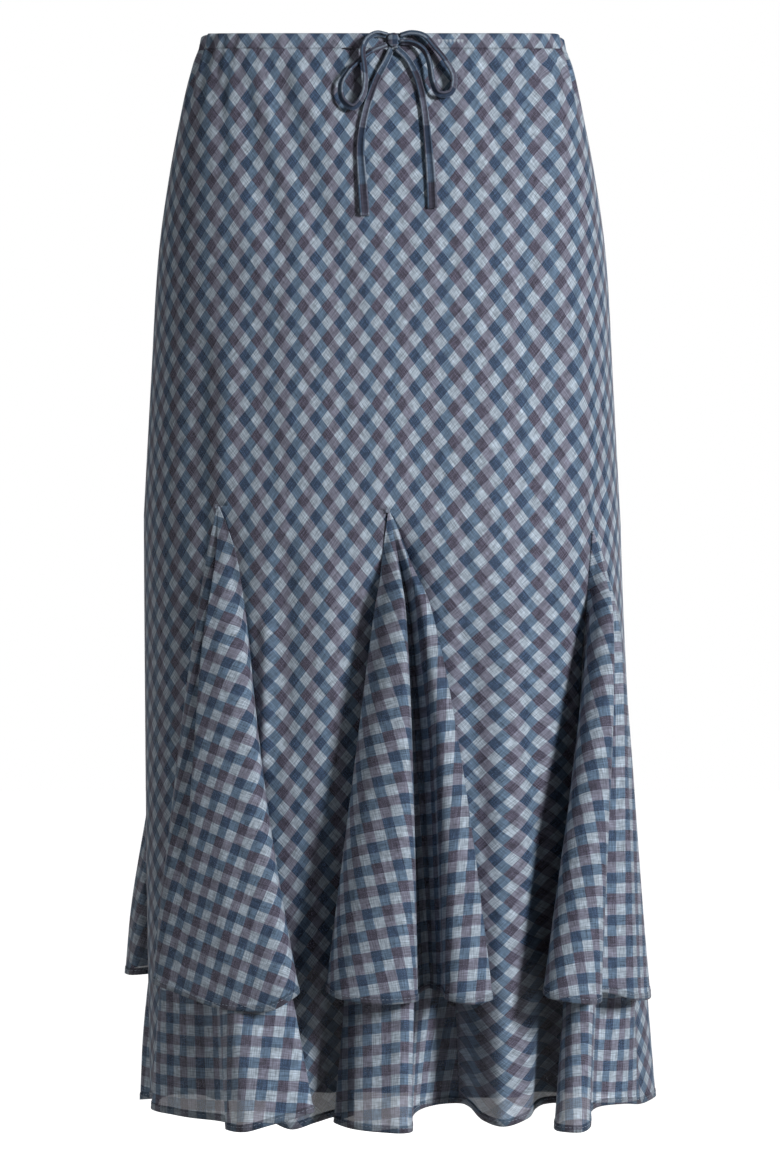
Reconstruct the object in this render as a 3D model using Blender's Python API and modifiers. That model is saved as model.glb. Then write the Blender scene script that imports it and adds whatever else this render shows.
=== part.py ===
"""Godet skirt: a bias-cut midi skirt with a drawstring waist casing, front and back body panels
slit at the hem, six two-tier godets sewn into the slits, a plain lining and a tied bow.

Metres, +Z up, the front faces -Y and the wearer's left hand is at +X as seen from the front.
The origin is the centre of the waist casing at half its height."""

import math
from collections import namedtuple
from functools import lru_cache

import bmesh
import bpy
from mathutils import Vector

MM = 0.001

# Driving sizes
CLOTH_WALL = 1.0 * MM  # thickness of every cloth solid
SEAM_GAP = 0.3 * MM  # between two pieces that are sewn together
CASING_HEIGHT = 12.0 * MM
CASING_OUTSIDE = 0.7 * MM  # how far the casing stands out from the body cloth
CASING_INSIDE = 3.1 * MM  # how far it reaches in, over the top of the lining
CASING_GATHERS = 30  # ripples all round the casing
GATHER_DEPTH = 0.45 * MM
GATHER_COLUMNS = 4  # faces across each ripple
CASING_EDGE = 1.2 * MM  # bevel of the casing's top edges
APEX_Z = -370.0 * MM  # top of the godets
HEM_Z = -830.0 * MM  # hem of the body panels and of the lower tiers
UPPER_HEM_Z = -737.0 * MM  # hem of the upper tiers
LINING_HEM_Z = -719.0 * MM
LINING_INSET = 2.2 * MM  # from the middle of the body cloth to the middle of the lining
TIER_LAP = 1.7 * MM  # from the middle of the lower tier to the middle of the upper one at the seam
SEAM_REACH = 4.0 * MM  # how far from a seam the turn of the cloth there is measured
SHARPEST_TURN = math.radians(20)  # limits of that turn, between the tongue and the godet
FLATTEST_TURN = math.radians(120)
SIDE_SEAM = 0.25  # share of the waist's round, from the centre front, at which the side seams lie
CORD_DIAMETER = 4.0 * MM
KNOT_SIZE = Vector((10.0, 6.4, 11.0)) * MM

# The body above the godets: one row for each level, from the casing down
Level = namedtuple("Level", "z half_width half_depth squareness")
BODY_LEVELS = (
    Level(0.000, 0.1470, 0.085, 3.0),
    Level(-0.017, 0.1560, 0.089, 2.9),
    Level(-0.045, 0.1615, 0.096, 2.7),
    Level(-0.090, 0.1690, 0.107, 2.5),
    Level(-0.160, 0.1780, 0.120, 2.3),
    Level(-0.260, 0.1840, 0.131, 2.2),
    Level(-0.370, 0.1900, 0.140, 2.1),
)
LINING_LEVELS = (
    Level(-0.370, 0.1800, 0.128, 2.1),
    Level(-0.500, 0.1720, 0.112, 2.1),
    Level(-0.719, 0.1600, 0.086, 2.1),
)
LINING_WAVE = 18.0 * MM  # how far the lining's hem swells out behind each tongue of the body
LINING_SLACK = 11.0 * MM  # from the body to the lining at the apexes, below the height where
SLACK_FROM_Z = -200.0 * MM  # it starts to hang free

# Godets in order from the left front round the front, right side and back.
# place: share of the round from the centre front; columns: faces across each tier
Godet = namedtuple("Godet", "name place columns")
GODETS = (
    Godet("left", -0.131, 26),
    Godet("centre", 0.007, 26),
    Godet("right", 0.180, 26),
    Godet("back_right", 0.352, 19),
    Godet("back", 0.524, 19),
    Godet("back_left", 0.697, 19),
)

# The folds of the hem in plan, in millimetres: one row for each crest, valley or turn.
# drop: how much lower than HEM_Z or UPPER_HEM_Z the hem hangs there.
# Each list starts at its first seam and runs to the row before the next list's first seam.
Fold = namedtuple("Fold", "x y drop")
LOWER_FOLDS = {
    "left": (
        Fold(-176, -42, 0), Fold(-179, -66, 1), Fold(-165, -92, 2), Fold(-146, -104, 3),
        Fold(-126, -112, 4), Fold(-116, -136, 3), Fold(-117, -165, 3), Fold(-102, -186, 2),
        Fold(-84, -188, -3), Fold(-65, -186, -8), Fold(-51, -177, -12), Fold(-62, -164, -8),
        Fold(-85, -141, -2),
    ),
    "centre": (
        Fold(-22, -107, 0), Fold(-26, -121, 0), Fold(-36, -138, 1), Fold(-22, -160, 3),
        Fold(0, -175, 4), Fold(15, -180, 4), Fold(23, -170, 4), Fold(22, -138, 0),
        Fold(29, -108, -4), Fold(44, -92, -6),
    ),
    "right": (
        Fold(140, -88, -6), Fold(141, -108, 0), Fold(136, -136, 6), Fold(142, -159, 6),
        Fold(154, -162, 6), Fold(161, -146, 4), Fold(162, -112, -2), Fold(172, -86, -4),
        Fold(190, -68, -3),
    ),
    "back_right": (
        Fold(190, 58, 0), Fold(206, 74, 0), Fold(204, 100, 2), Fold(182, 108, 0),
        Fold(162, 106, -2), Fold(158, 128, 0), Fold(166, 152, 3), Fold(146, 166, 3),
        Fold(126, 150, 0),
    ),
    "back": (
        Fold(30, 128, 0), Fold(32, 152, 0), Fold(20, 176, 3), Fold(-2, 174, 3),
        Fold(-8, 142, -2), Fold(-24, 124, -4), Fold(-40, 140, -2), Fold(-46, 172, 3),
        Fold(-70, 182, 3), Fold(-86, 160, 0),
    ),
    "back_left": (
        Fold(-138, 112, 0), Fold(-149, 130, 0), Fold(-165, 142, 2), Fold(-180, 126, 1),
        Fold(-174, 100, -2), Fold(-184, 86, 0), Fold(-199, 92, 3), Fold(-203, 72, 2),
    ),
}
TONGUE_FOLDS = {
    "left": (Fold(-86, -116, 3), Fold(-69, -124, 9), Fold(-51, -122, 4), Fold(-36, -110, 1)),
    "centre": (
        Fold(60, -86, -6), Fold(68, -106, -6), Fold(78, -138, 0), Fold(93, -158, 2),
        Fold(111, -142, -2), Fold(118, -117, -6), Fold(126, -98, -7),
    ),
    "right": (Fold(203, -46, 0), Fold(218, -18, -2), Fold(217, 14, 0), Fold(203, 40, 0)),
    "back_right": (Fold(112, 124, 0), Fold(94, 136, 2), Fold(70, 152, 4), Fold(48, 137, 2)),
    "back": (Fold(-76, 134, 0), Fold(-92, 128, 2), Fold(-112, 136, 4), Fold(-126, 124, 2)),
    "back_left": (Fold(-186, 52, 0), Fold(-195, 28, 2), Fold(-191, 0, 2), Fold(-183, -22, 0)),
}
UPPER_FOLDS = {
    "left": (
        Fold(-174, -70, -6), Fold(-177, -88, -9), Fold(-158, -130, 0), Fold(-124, -180, 5),
        Fold(-99, -199, 3), Fold(-78, -198, -2), Fold(-62, -188, -9), Fold(-58, -171, -9),
        Fold(-66, -149, -7), Fold(-78, -134, -5), Fold(-89, -121, -3),
    ),
    "centre": (
        Fold(-38, -133, -5), Fold(-44, -152, -8), Fold(-31, -182, -4), Fold(0, -199, -2),
        Fold(18, -200, -3), Fold(26, -185, -3), Fold(27, -150, -4), Fold(36, -132, -7),
        Fold(43, -160, -4), Fold(60, -189, -1), Fold(82, -182, -4), Fold(74, -156, -5),
    ),
    "right": (
        Fold(137, -110, -5), Fold(128, -130, -6), Fold(123, -151, -8), Fold(131, -174, -4),
        Fold(149, -184, -2),
        Fold(163, -176, 0), Fold(165, -142, -3), Fold(176, -122, -2), Fold(197, -104, 5),
        Fold(212, -66, 7), Fold(209, -48, 3),
    ),
    "back_right": (
        Fold(208, 66, 0), Fold(216, 96, 3), Fold(196, 122, 2), Fold(174, 124, 0),
        Fold(178, 154, 2), Fold(154, 176, 3), Fold(128, 160, 0),
    ),
    "back": (
        Fold(44, 156, 0), Fold(28, 194, 3), Fold(0, 192, 2), Fold(-13, 166, -2),
        Fold(-24, 149, -3), Fold(-34, 166, -2), Fold(-50, 192, 2), Fold(-80, 198, 3),
        Fold(-92, 172, 0),
    ),
    "back_left": (
        Fold(-152, 138, 0), Fold(-170, 158, 2), Fold(-190, 144, 2), Fold(-188, 110, -1),
        Fold(-206, 100, 0), Fold(-212, 66, 2), Fold(-204, 42, 1),
    ),
}

# The slits spread quickly below their apexes and the middle of a tongue swings out slowly:
# powers of the share of the way down
EDGE_SPREAD = 0.8
MIDDLE_SPREAD = 1.3

# Shares of the way from the apexes to the hem between which each tier's folds open: above them
# it is a flat wedge, and the lower tier lies nearly flat under the upper one
UPPER_OPENS = (0.10, 0.29)
LOWER_OPENS = (0.36, 0.74)
SWAY = 1.8  # the folds swing sideways later than they stand out: a power of how far they opened
UPPER_ROWS = (0.035, 0.13, 0.22, 0.32, 0.48, 0.72, 1.0)  # shares of the tier's own length
HEM_ROWS = (0.035, 0.18, 0.36, 0.44, 0.54, 0.76, 1.0)  # shares of the way from apexes to hem
BODY_ROWS = (-0.021, -0.045, -0.080, -0.120, -0.165, -0.215, -0.265, -0.320, -0.370)
LINING_ROWS = (-0.045, -0.100, -0.170, -0.260, -0.370, -0.480, -0.600, -0.719)
TONGUE_COLUMNS = 9
LINING_COLUMNS = 7  # behind each tongue

# The tie's routes on the front, in millimetres. lift: how far it stands off the cloth
Place = namedtuple("Place", "x z lift")
TIE_ROUTES = {
    "tie_loop_left": (
        Place(3.7, 3.6, 1.5), Place(-4, 4.6, 4.0), Place(-11, 0.5, 5.4), Place(-14.5, -8, 5.6),
        Place(-13.5, -20, 5.6), Place(-12.5, -32, 5.4), Place(-14.5, -45, 5.0),
        Place(-22, -54, 4.4), Place(-30, -48, 4.2), Place(-31.5, -36, 4.0), Place(-26, -25, 3.0),
        Place(-18, -17, 1.4), Place(-8, -8.5, 0.5), Place(3.8, -3.4, 1.0),
    ),
    "tie_loop_right": (
        Place(14.3, 3.6, 1.5), Place(23, 5.4, 3.5), Place(33, 3.0, 4.5), Place(41, -6, 5.0),
        Place(49, -16, 5.0), Place(56, -30, 4.5), Place(53, -42, 4.0), Place(44, -43, 4.0),
        Place(39, -33, 5.0), Place(37, -20, 5.5), Place(33, -9, 5.0), Place(25, -3.0, 3.5),
        Place(14.5, -1.6, 1.5),
    ),
    "tie_end_left": (
        Place(7.3, -6.8, 0.4), Place(4, -15, 0.3), Place(-4, -31, 0.3), Place(-11.5, -53, 0.3),
        Place(-16.2, -82, 0.3), Place(-14.8, -113, 0.3), Place(-13.0, -139, 0.3),
    ),
    "tie_end_right": (
        Place(11.5, -6.8, 0.4), Place(19, -14, 0.3), Place(27, -29, 0.3), Place(32.5, -52, 0.3),
        Place(35.5, -80, 0.3), Place(37.8, -108, 0.3), Place(39, -133, 0.3),
    ),
}
KNOT_PLACE = Place(9.0, 0.0, 0.3)
TIE_POINTS = 20  # along each stretch of the tie

OVAL_STEPS = 360  # chords for measuring shares of an oval's round
CURVE_STEPS = 14  # chords between two rows of a fold table
EDGE_STEPS = 400  # steps across a tier when its edges are sought

CLOTH_ROUGHNESS = 0.85
KNOT_FACES = (16, 10)  # round the knot, and from end to end

COLOURS = {
    "body": (0.20, 0.24, 0.31),
    "upper": (0.26, 0.31, 0.38),
    "lower": (0.22, 0.26, 0.33),
    "lining": (0.05, 0.06, 0.09),
    "tie": (0.16, 0.20, 0.28),
}


def lerp(a, b, share):
    return a + (b - a) * share


def smooth_step(x, low, high):
    share = min(max((x - low) / (high - low), 0.0), 1.0)
    return share * share * (3.0 - 2.0 * share)


def level_at(levels, z):
    """The level at height z, between the table's rows, with no kink at a row."""
    if z >= levels[0].z:
        return levels[0]._replace(z=z)
    if z <= levels[-1].z:
        return levels[-1]._replace(z=z)
    i = next(i for i in range(len(levels) - 1) if levels[i + 1].z <= z)
    before, a, b = levels[max(i - 1, 0)], levels[i], levels[i + 1]
    after = levels[min(i + 2, len(levels) - 1)]
    share = (z - a.z) / (b.z - a.z)
    values = [z]
    for column in range(1, len(Level._fields)):
        slope_a = (b[column] - before[column]) / (b.z - before.z)
        slope_b = (after[column] - a[column]) / (after.z - a.z)
        span = b.z - a.z
        h00 = 2 * share**3 - 3 * share**2 + 1
        h10 = share**3 - 2 * share**2 + share
        h11 = share**3 - share**2
        value = h00 * a[column] + (1 - h00) * b[column] + span * (h10 * slope_a + h11 * slope_b)
        values.append(value)
    return Level(*values)


@lru_cache(maxsize=None)
def oval_round(level):
    """Points all round a level's oval from the centre front, and the length up to each."""
    points = []
    for step in range(OVAL_STEPS + 1):
        angle = 2.0 * math.pi * step / OVAL_STEPS
        across, out = math.sin(angle), -math.cos(angle)
        power = 2.0 / level.squareness
        points.append(
            Vector((
                level.half_width * math.copysign(abs(across) ** power, across),
                level.half_depth * math.copysign(abs(out) ** power, out),
            ))
        )
    lengths = [0.0]
    for a, b in zip(points, points[1:]):
        lengths.append(lengths[-1] + (b - a).length)
    return points, lengths


def on_line(points, lengths, length):
    """The point at a length along a line of points."""
    i = next((i for i in range(1, len(lengths)) if lengths[i] >= length), len(lengths) - 1)
    span = lengths[i] - lengths[i - 1]
    return points[i - 1].lerp(points[i], (length - lengths[i - 1]) / span if span else 0.0)


def oval_point(level, place, inset=0.0):
    """The point of a level's oval at a share of its round, moved in by inset."""
    points, lengths = oval_round(level)
    length = (place % 1.0) * lengths[-1]
    step = lengths[-1] / OVAL_STEPS
    here = on_line(points, lengths, length)
    ahead = on_line(points, lengths, (length + step) % lengths[-1])
    behind = on_line(points, lengths, (length - step) % lengths[-1])
    along = (ahead - behind).normalized()
    return here - inset * Vector((along.y, -along.x))


@lru_cache(maxsize=None)
def apex_point(place, inset=0.0):
    return oval_point(APEX_LEVEL, place, inset)


def fold_vector(fold):
    return Vector((fold.x * MM, fold.y * MM, fold.drop * MM))


def curve_between(before, a, b, after, steps):
    """Points of a centripetal Catmull-Rom curve from a up to, and without, b."""
    knots = [0.0]
    for p, q in ((before, a), (a, b), (b, after)):
        knots.append(knots[-1] + max((q - p).length, 1e-6) ** 0.5)
    t0, t1, t2, t3 = knots
    points = []
    for step in range(steps):
        t = lerp(t1, t2, step / steps)
        a1 = before * ((t1 - t) / (t1 - t0)) + a * ((t - t0) / (t1 - t0))
        a2 = a * ((t2 - t) / (t2 - t1)) + b * ((t - t1) / (t2 - t1))
        a3 = b * ((t3 - t) / (t3 - t2)) + after * ((t - t2) / (t3 - t2))
        b1 = a1 * ((t2 - t) / (t2 - t0)) + a2 * ((t - t0) / (t2 - t0))
        b2 = a2 * ((t3 - t) / (t3 - t1)) + a3 * ((t - t1) / (t3 - t1))
        points.append(b1 * ((t2 - t) / (t2 - t1)) + b2 * ((t - t1) / (t2 - t1)))
    return points


class FoldLine:
    """A smooth line in plan, with the hem's drop as its third value, read by share of length."""

    def __init__(self, points):
        self.points = points
        self.lengths = [0.0]
        for a, b in zip(points, points[1:]):
            self.lengths.append(self.lengths[-1] + (b.xy - a.xy).length)

    @property
    def length(self):
        return self.lengths[-1]

    def at(self, share):
        return on_line(self.points, self.lengths, share * self.length)

    def outward(self, share):
        """The unit vector out of the skirt, square to the line."""
        along = self.at(min(share + 0.02, 1.0)).xy - self.at(max(share - 0.02, 0.0)).xy
        along.normalize()
        return Vector((along.y, -along.x))


def hem_lines():
    """The hem all round as one smooth closed line, cut into godets and tongues of the body."""
    rows, starts = [], []
    for godet in GODETS:
        for kind, table in (("godet", LOWER_FOLDS), ("tongue", TONGUE_FOLDS)):
            starts.append((kind, godet.name, len(rows)))
            rows.extend(fold_vector(fold) for fold in table[godet.name])
    count = len(rows)
    lines = {}
    for order, (kind, name, start) in enumerate(starts):
        end = starts[order + 1][2] if order + 1 < len(starts) else count
        points = []
        for i in range(start, end):
            corners = [rows[(i + j) % count] for j in (-1, 0, 1, 2)]
            points.extend(curve_between(*corners, CURVE_STEPS))
        points.append(rows[end % count].copy())
        lines[kind, name] = FoldLine(points)
    return lines


HEM = hem_lines()
APEX_LEVEL = level_at(BODY_LEVELS, APEX_Z)


def next_godet(godet):
    return GODETS[(GODETS.index(godet) + 1) % len(GODETS)]


def previous_godet(godet):
    return GODETS[GODETS.index(godet) - 1]


def tongue_place(godet, share):
    """The share of the waist's round at a share across the tongue that follows a godet."""
    after = next_godet(godet)
    end = after.place if after.place > godet.place else after.place + 1.0
    return lerp(godet.place, end, share)


def tongue_point(godet, share, down):
    """A point of the tongue that follows a godet: share across it, down from apexes to hem."""
    top = apex_point(tongue_place(godet, share))
    hem = HEM["tongue", godet.name].at(share)
    at_edge = abs(2.0 * share - 1.0) ** 3
    plan = top.lerp(hem.xy, lerp(down**MIDDLE_SPREAD, down**EDGE_SPREAD, at_edge))
    return Vector((plan.x, plan.y, lerp(APEX_Z, HEM_Z - hem.z, down)))


def seam_points(godet, down):
    """The two seam lines of a godet at a share of the way down to the hem."""
    return tongue_point(previous_godet(godet), 1.0, down), tongue_point(godet, 0.0, down)


def opened(z, opens):
    """How far a tier's folds have opened at height z."""
    return smooth_step((APEX_Z - z) / (APEX_Z - HEM_Z), *opens)


def folded(flat, fold, chord, reach):
    """A flat point in plan moved by its fold, of which reach is open."""
    along = chord.normalized()
    sideways = along * fold.dot(along)
    return flat + (fold - sideways) * reach + sideways * reach**SWAY


def lower_point(godet, share, down):
    """A point of a godet's lower tier. It is flat at its apex, and its folds open downwards."""
    start, end = seam_points(godet, down)
    line = HEM["godet", godet.name]
    first, last = line.at(0.0), line.at(1.0)
    fold = line.at(share) - first.lerp(last, share)
    flat = start.lerp(end, share)
    reach = down**EDGE_SPREAD * opened(flat.z, LOWER_OPENS)
    plan = folded(flat.xy, fold.xy, end.xy - start.xy, reach)
    return Vector((plan.x, plan.y, flat.z - fold.z * down))


def upper_line(godet):
    """The upper tier's hem, from seam to seam, outside the lower tier and the body."""
    down = (APEX_Z - UPPER_HEM_Z) / (APEX_Z - HEM_Z)
    seams = []
    for seam, tongue, side in zip(seam_points(godet, down), (previous_godet(godet), godet), (1, 0)):
        out = HEM["godet", godet.name].outward(1.0 - side) + HEM["tongue", tongue.name].outward(side)
        plan = seam.xy + TIER_LAP * out.normalized()
        seams.append(Vector((plan.x, plan.y, 0.0)))
    rows = [seams[0], *(fold_vector(fold) for fold in UPPER_FOLDS[godet.name]), seams[1]]
    rows = [rows[0] * 2 - rows[1], *rows, rows[-1] * 2 - rows[-2]]
    points = []
    for corners in zip(rows, rows[1:], rows[2:], rows[3:]):
        points.extend(curve_between(*corners, CURVE_STEPS))
    points.append(rows[-2].copy())
    return FoldLine(points)


UPPER_HEM = {godet.name: upper_line(godet) for godet in GODETS}


def upper_point(godet, share, down):
    """A point of a godet's upper tier, down being the share of the tier's own length."""
    line = UPPER_HEM[godet.name]
    first, last = line.at(0.0), line.at(1.0)
    apex = apex_point(godet.place, -TIER_LAP)
    fold = line.at(share) - first.lerp(last, share)
    flat = apex.lerp(first.lerp(last, share).xy, down**EDGE_SPREAD)
    level = lerp(APEX_Z, UPPER_HEM_Z, down)
    reach = down**EDGE_SPREAD * opened(level, UPPER_OPENS)
    plan = folded(flat, fold.xy, last.xy - first.xy, reach)
    return Vector((plan.x, plan.y, level - line.at(share).z * down))


def body_point(place, z, inset=0.0):
    plan = oval_point(level_at(BODY_LEVELS, z), place, inset)
    return Vector((plan.x, plan.y, z))


def new_object(name, mesh_or_curve, collection, kind):
    obj = bpy.data.objects.new(name, mesh_or_curve)
    collection.objects.link(obj)
    material = bpy.data.materials.get(kind) or bpy.data.materials.new(kind)
    material.use_nodes = True
    shader = material.node_tree.nodes["Principled BSDF"]
    shader.inputs["Base Color"].default_value = (*COLOURS[kind], 1.0)
    shader.inputs["Roughness"].default_value = CLOTH_ROUGHNESS
    shader.inputs["Metallic"].default_value = 0.0
    obj.data.materials.append(material)
    return obj


def cloth(name, grids, collection, kind):
    """Cloth from grids of points, which share the vertices that coincide, made a wall."""
    bm = bmesh.new()
    known = {}
    for rows in grids:
        verts = []
        for row in rows:
            line = []
            for point in row:
                key = tuple(round(value, 7) for value in point)
                if key not in known:
                    known[key] = bm.verts.new(point)
                line.append(known[key])
            verts.append(line)
        for upper, lower in zip(verts, verts[1:]):
            for i in range(len(upper) - 1):
                corners = [upper[i], lower[i], lower[i + 1], upper[i + 1]]
                bm.faces.new([v for n, v in enumerate(corners) if v not in corners[:n]])
    mesh = bpy.data.meshes.new(name)
    bm.to_mesh(mesh)
    bm.free()
    mesh.shade_smooth()
    obj = new_object(name, mesh, collection, kind)
    wall = obj.modifiers.new("Wall", "SOLIDIFY")
    wall.thickness = CLOTH_WALL
    wall.offset = 0.0
    return obj


def shares(count, start=0.0, end=1.0):
    return [lerp(start, end, i / count) for i in range(count + 1)]


def panel(name, stretches, collection):
    """A body panel: whole down to the apexes, then one tongue for each stretch.

    stretches: (godet before the tongue, first share, last share, columns)."""
    grids = []
    whole = []
    top = -CASING_HEIGHT / 2 - SEAM_GAP
    for z in (top, *BODY_ROWS):
        row = []
        for godet, first, last, columns in stretches:
            points = [body_point(tongue_place(godet, s), z) for s in shares(columns, first, last)]
            row.extend(points if not row else points[1:])
        whole.append(row)
    grids.append(whole)
    for godet, first, last, columns in stretches:
        across = shares(columns, first, last)
        rows = [[tongue_point(godet, s, down) for s in across] for down in (0.0, *HEM_ROWS)]
        grids.append(rows)
    return cloth(name, grids, collection, "body")


def side_shares():
    """The share of the left and the right side tongue at which the side seam lies."""
    left, right = GODETS[-1], GODETS[2]
    left_share = (1.0 - SIDE_SEAM - left.place) / (tongue_place(left, 1.0) - left.place)
    right_share = (SIDE_SEAM - right.place) / (tongue_place(right, 1.0) - right.place)
    return left_share, right_share


def body_panels(collection):
    left, centre, right, back_right, back, back_left = GODETS
    left_seam, right_seam = side_shares()
    gap = SEAM_GAP / 2 / HEM["tongue", "left"].length / 2
    few = TONGUE_COLUMNS // 2
    front = (
        (back_left, left_seam + gap, 1.0, TONGUE_COLUMNS - 2),
        (left, 0.0, 1.0, TONGUE_COLUMNS),
        (centre, 0.0, 1.0, TONGUE_COLUMNS + 2),
        (right, 0.0, right_seam - gap, few),
    )
    rear = (
        (right, right_seam + gap, 1.0, few + 1),
        (back_right, 0.0, 1.0, TONGUE_COLUMNS),
        (back, 0.0, 1.0, TONGUE_COLUMNS),
        (back_left, 0.0, left_seam - gap, few - 1),
    )
    panel("front_panel", front, collection)
    panel("back_panel", rear, collection)


def share_off_seam(godet, point, side, down, distance):
    """The share at which a tier first lies a distance from its seam line."""
    seam = point(godet, side, down).xy
    inward = 1.0 - 2.0 * side
    steps = (side + inward * step / EDGE_STEPS for step in range(1, EDGE_STEPS // 2))
    return next(s for s in steps if (point(godet, s, down).xy - seam).length >= distance)


def seam_edge(godet, point, side, down):
    """How far a tier's cut edge stays from its seam line, so that the walls meet and don't cross.

    It is more where the cloth turns back sharply at the seam."""
    tongue, end = (previous_godet(godet), 1.0) if side == 0 else (godet, 0.0)
    inward = -1.0 if end else 1.0
    seam = tongue_point(tongue, end, down).xy
    across = (tongue_point(tongue, 1.0, down) - tongue_point(tongue, 0.0, down)).xy.length
    on_tongue = tongue_point(tongue, end + inward * SEAM_REACH / across, down).xy
    opening = (point(godet, 1.0, down) - point(godet, 0.0, down)).xy.length
    reach = min(SEAM_REACH, opening * 0.4)
    on_godet = point(godet, share_off_seam(godet, point, side, down, reach), down).xy
    turn = max((on_tongue - seam).angle(on_godet - seam), SHARPEST_TURN)
    beside = CLOTH_WALL / 2 * (1.0 + math.cos(turn)) + SEAM_GAP
    return max(beside / math.sin(min(turn, FLATTEST_TURN)), 2 * SEAM_GAP)


def godet_tiers(godet, collection):
    for tier, point, rows in (
        ("lower", lower_point, HEM_ROWS),
        ("upper", upper_point, UPPER_ROWS),
    ):
        grid = []
        for down in rows:
            ends = []
            for side in (0, 1):
                edge = TIER_LAP / 2 if tier == "upper" else seam_edge(godet, point, side, down)
                ends.append(share_off_seam(godet, point, side, down, edge))
            across = shares(godet.columns, *ends)
            grid.append([point(godet, share, down) for share in across])
        cloth(f"godet_{godet.name}_{tier}", [grid], collection, tier)


def lining(collection):
    rows = []
    for z in (-CASING_HEIGHT / 2 - SEAM_GAP, *LINING_ROWS):
        row = []
        for godet in GODETS:
            for share in shares(LINING_COLUMNS)[:-1]:
                place = tongue_place(godet, share)
                if z >= APEX_Z:
                    slack = smooth_step(-z, -SLACK_FROM_Z, -APEX_Z)
                    inset = lerp(LINING_INSET, LINING_SLACK, slack)
                    row.append(body_point(place, z, inset))
                    continue
                down = (APEX_Z - z) / (APEX_Z - LINING_HEM_Z)
                swell = LINING_WAVE * down * (0.5 - 0.5 * math.cos(2 * math.pi * share))
                plan = oval_point(level_at(LINING_LEVELS, z), place, -swell)
                row.append(Vector((plan.x, plan.y, z)))
        row.append(row[0])
        rows.append(row)
    cloth("lining", [rows], collection, "lining")


def casing(collection):
    """The waist casing: a flat ring all round, rippled by its gathers."""
    half = CASING_HEIGHT / 2
    columns = CASING_GATHERS * GATHER_COLUMNS
    profile = (
        (CASING_OUTSIDE, -half), (CASING_OUTSIDE, half - CASING_EDGE),
        (CASING_OUTSIDE - CASING_EDGE, half), (CASING_EDGE - CASING_INSIDE, half),
        (-CASING_INSIDE, half - CASING_EDGE), (-CASING_INSIDE, -half),
    )
    bm = bmesh.new()
    rings = []
    for i in range(columns):
        place = i / columns
        ripple = GATHER_DEPTH * math.sin(2 * math.pi * CASING_GATHERS * place)
        ring = []
        for out, z in profile:
            plan = oval_point(BODY_LEVELS[0], place, -(out + ripple))
            ring.append(bm.verts.new((plan.x, plan.y, z)))
        rings.append(ring)
    for i, ring in enumerate(rings):
        following = rings[(i + 1) % columns]
        for j in range(len(profile)):
            k = (j + 1) % len(profile)
            bm.faces.new((ring[j], following[j], following[k], ring[k]))
    mesh = bpy.data.meshes.new("waist_casing")
    bm.to_mesh(mesh)
    bm.free()
    mesh.shade_smooth()
    new_object("waist_casing", mesh, collection, "body")


def front_surface(x, z):
    """How far forward the cloth, or the casing, reaches at a place of the front."""
    level = level_at(BODY_LEVELS, z)
    share = min(abs(x) / level.half_width, 1.0)
    depth = level.half_depth * (1.0 - share**level.squareness) ** (1.0 / level.squareness)
    over_casing = smooth_step(z, -CASING_HEIGHT, -CASING_HEIGHT / 2)
    return -depth - lerp(CLOTH_WALL / 2, CASING_OUTSIDE + GATHER_DEPTH, over_casing)


def tie_place(place, radius):
    x, z = place.x * MM, place.z * MM
    return Vector((x, front_surface(x, z) - place.lift * MM - radius, z))


def tie_stretch(name, route, collection):
    places = [tie_place(place, CORD_DIAMETER / 2) for place in route]
    places = [places[0] * 2 - places[1], *places, places[-1] * 2 - places[-2]]
    fine = []
    for corners in zip(places, places[1:], places[2:], places[3:]):
        fine.extend(curve_between(*corners, CURVE_STEPS))
    fine.append(places[-2])
    lengths = [0.0]
    for a, b in zip(fine, fine[1:]):
        lengths.append(lengths[-1] + (b - a).length)
    curve = bpy.data.curves.new(name, "CURVE")
    curve.dimensions = "3D"
    curve.bevel_depth = CORD_DIAMETER / 2
    curve.bevel_resolution = 2
    curve.use_fill_caps = True
    spline = curve.splines.new("POLY")
    spline.points.add(TIE_POINTS)
    for i, share in enumerate(shares(TIE_POINTS)):
        spline.points[i].co = (*on_line(fine, lengths, share * lengths[-1]), 1.0)
    new_object(name, curve, collection, "tie")


def knot(collection):
    bm = bmesh.new()
    around, along = KNOT_FACES
    bmesh.ops.create_uvsphere(bm, u_segments=around, v_segments=along, radius=0.5)
    bmesh.ops.scale(bm, vec=KNOT_SIZE, verts=bm.verts)
    mesh = bpy.data.meshes.new("tie_knot")
    bm.to_mesh(mesh)
    bm.free()
    mesh.shade_smooth()
    obj = new_object("tie_knot", mesh, collection, "tie")
    obj.location = tie_place(KNOT_PLACE, KNOT_SIZE.y / 2)


def main():
    for obj in list(bpy.data.objects):
        bpy.data.objects.remove(obj)
    collection = bpy.data.collections.new("godet_skirt")
    bpy.context.scene.collection.children.link(collection)
    casing(collection)
    body_panels(collection)
    lining(collection)
    for godet in GODETS:
        godet_tiers(godet, collection)
    knot(collection)
    for name, route in TIE_ROUTES.items():
        tie_stretch(name, route, collection)


main()
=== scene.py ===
"""Godet skirt in sheer checked cloth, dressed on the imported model.

Metres, in the row frame: +Z up, the front faces -Y. The sizes, fold tables and tie routes follow those
of the solids with small changes; the meshes are finer and carry the folds, hems and stitching."""

import math
from collections import namedtuple

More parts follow.
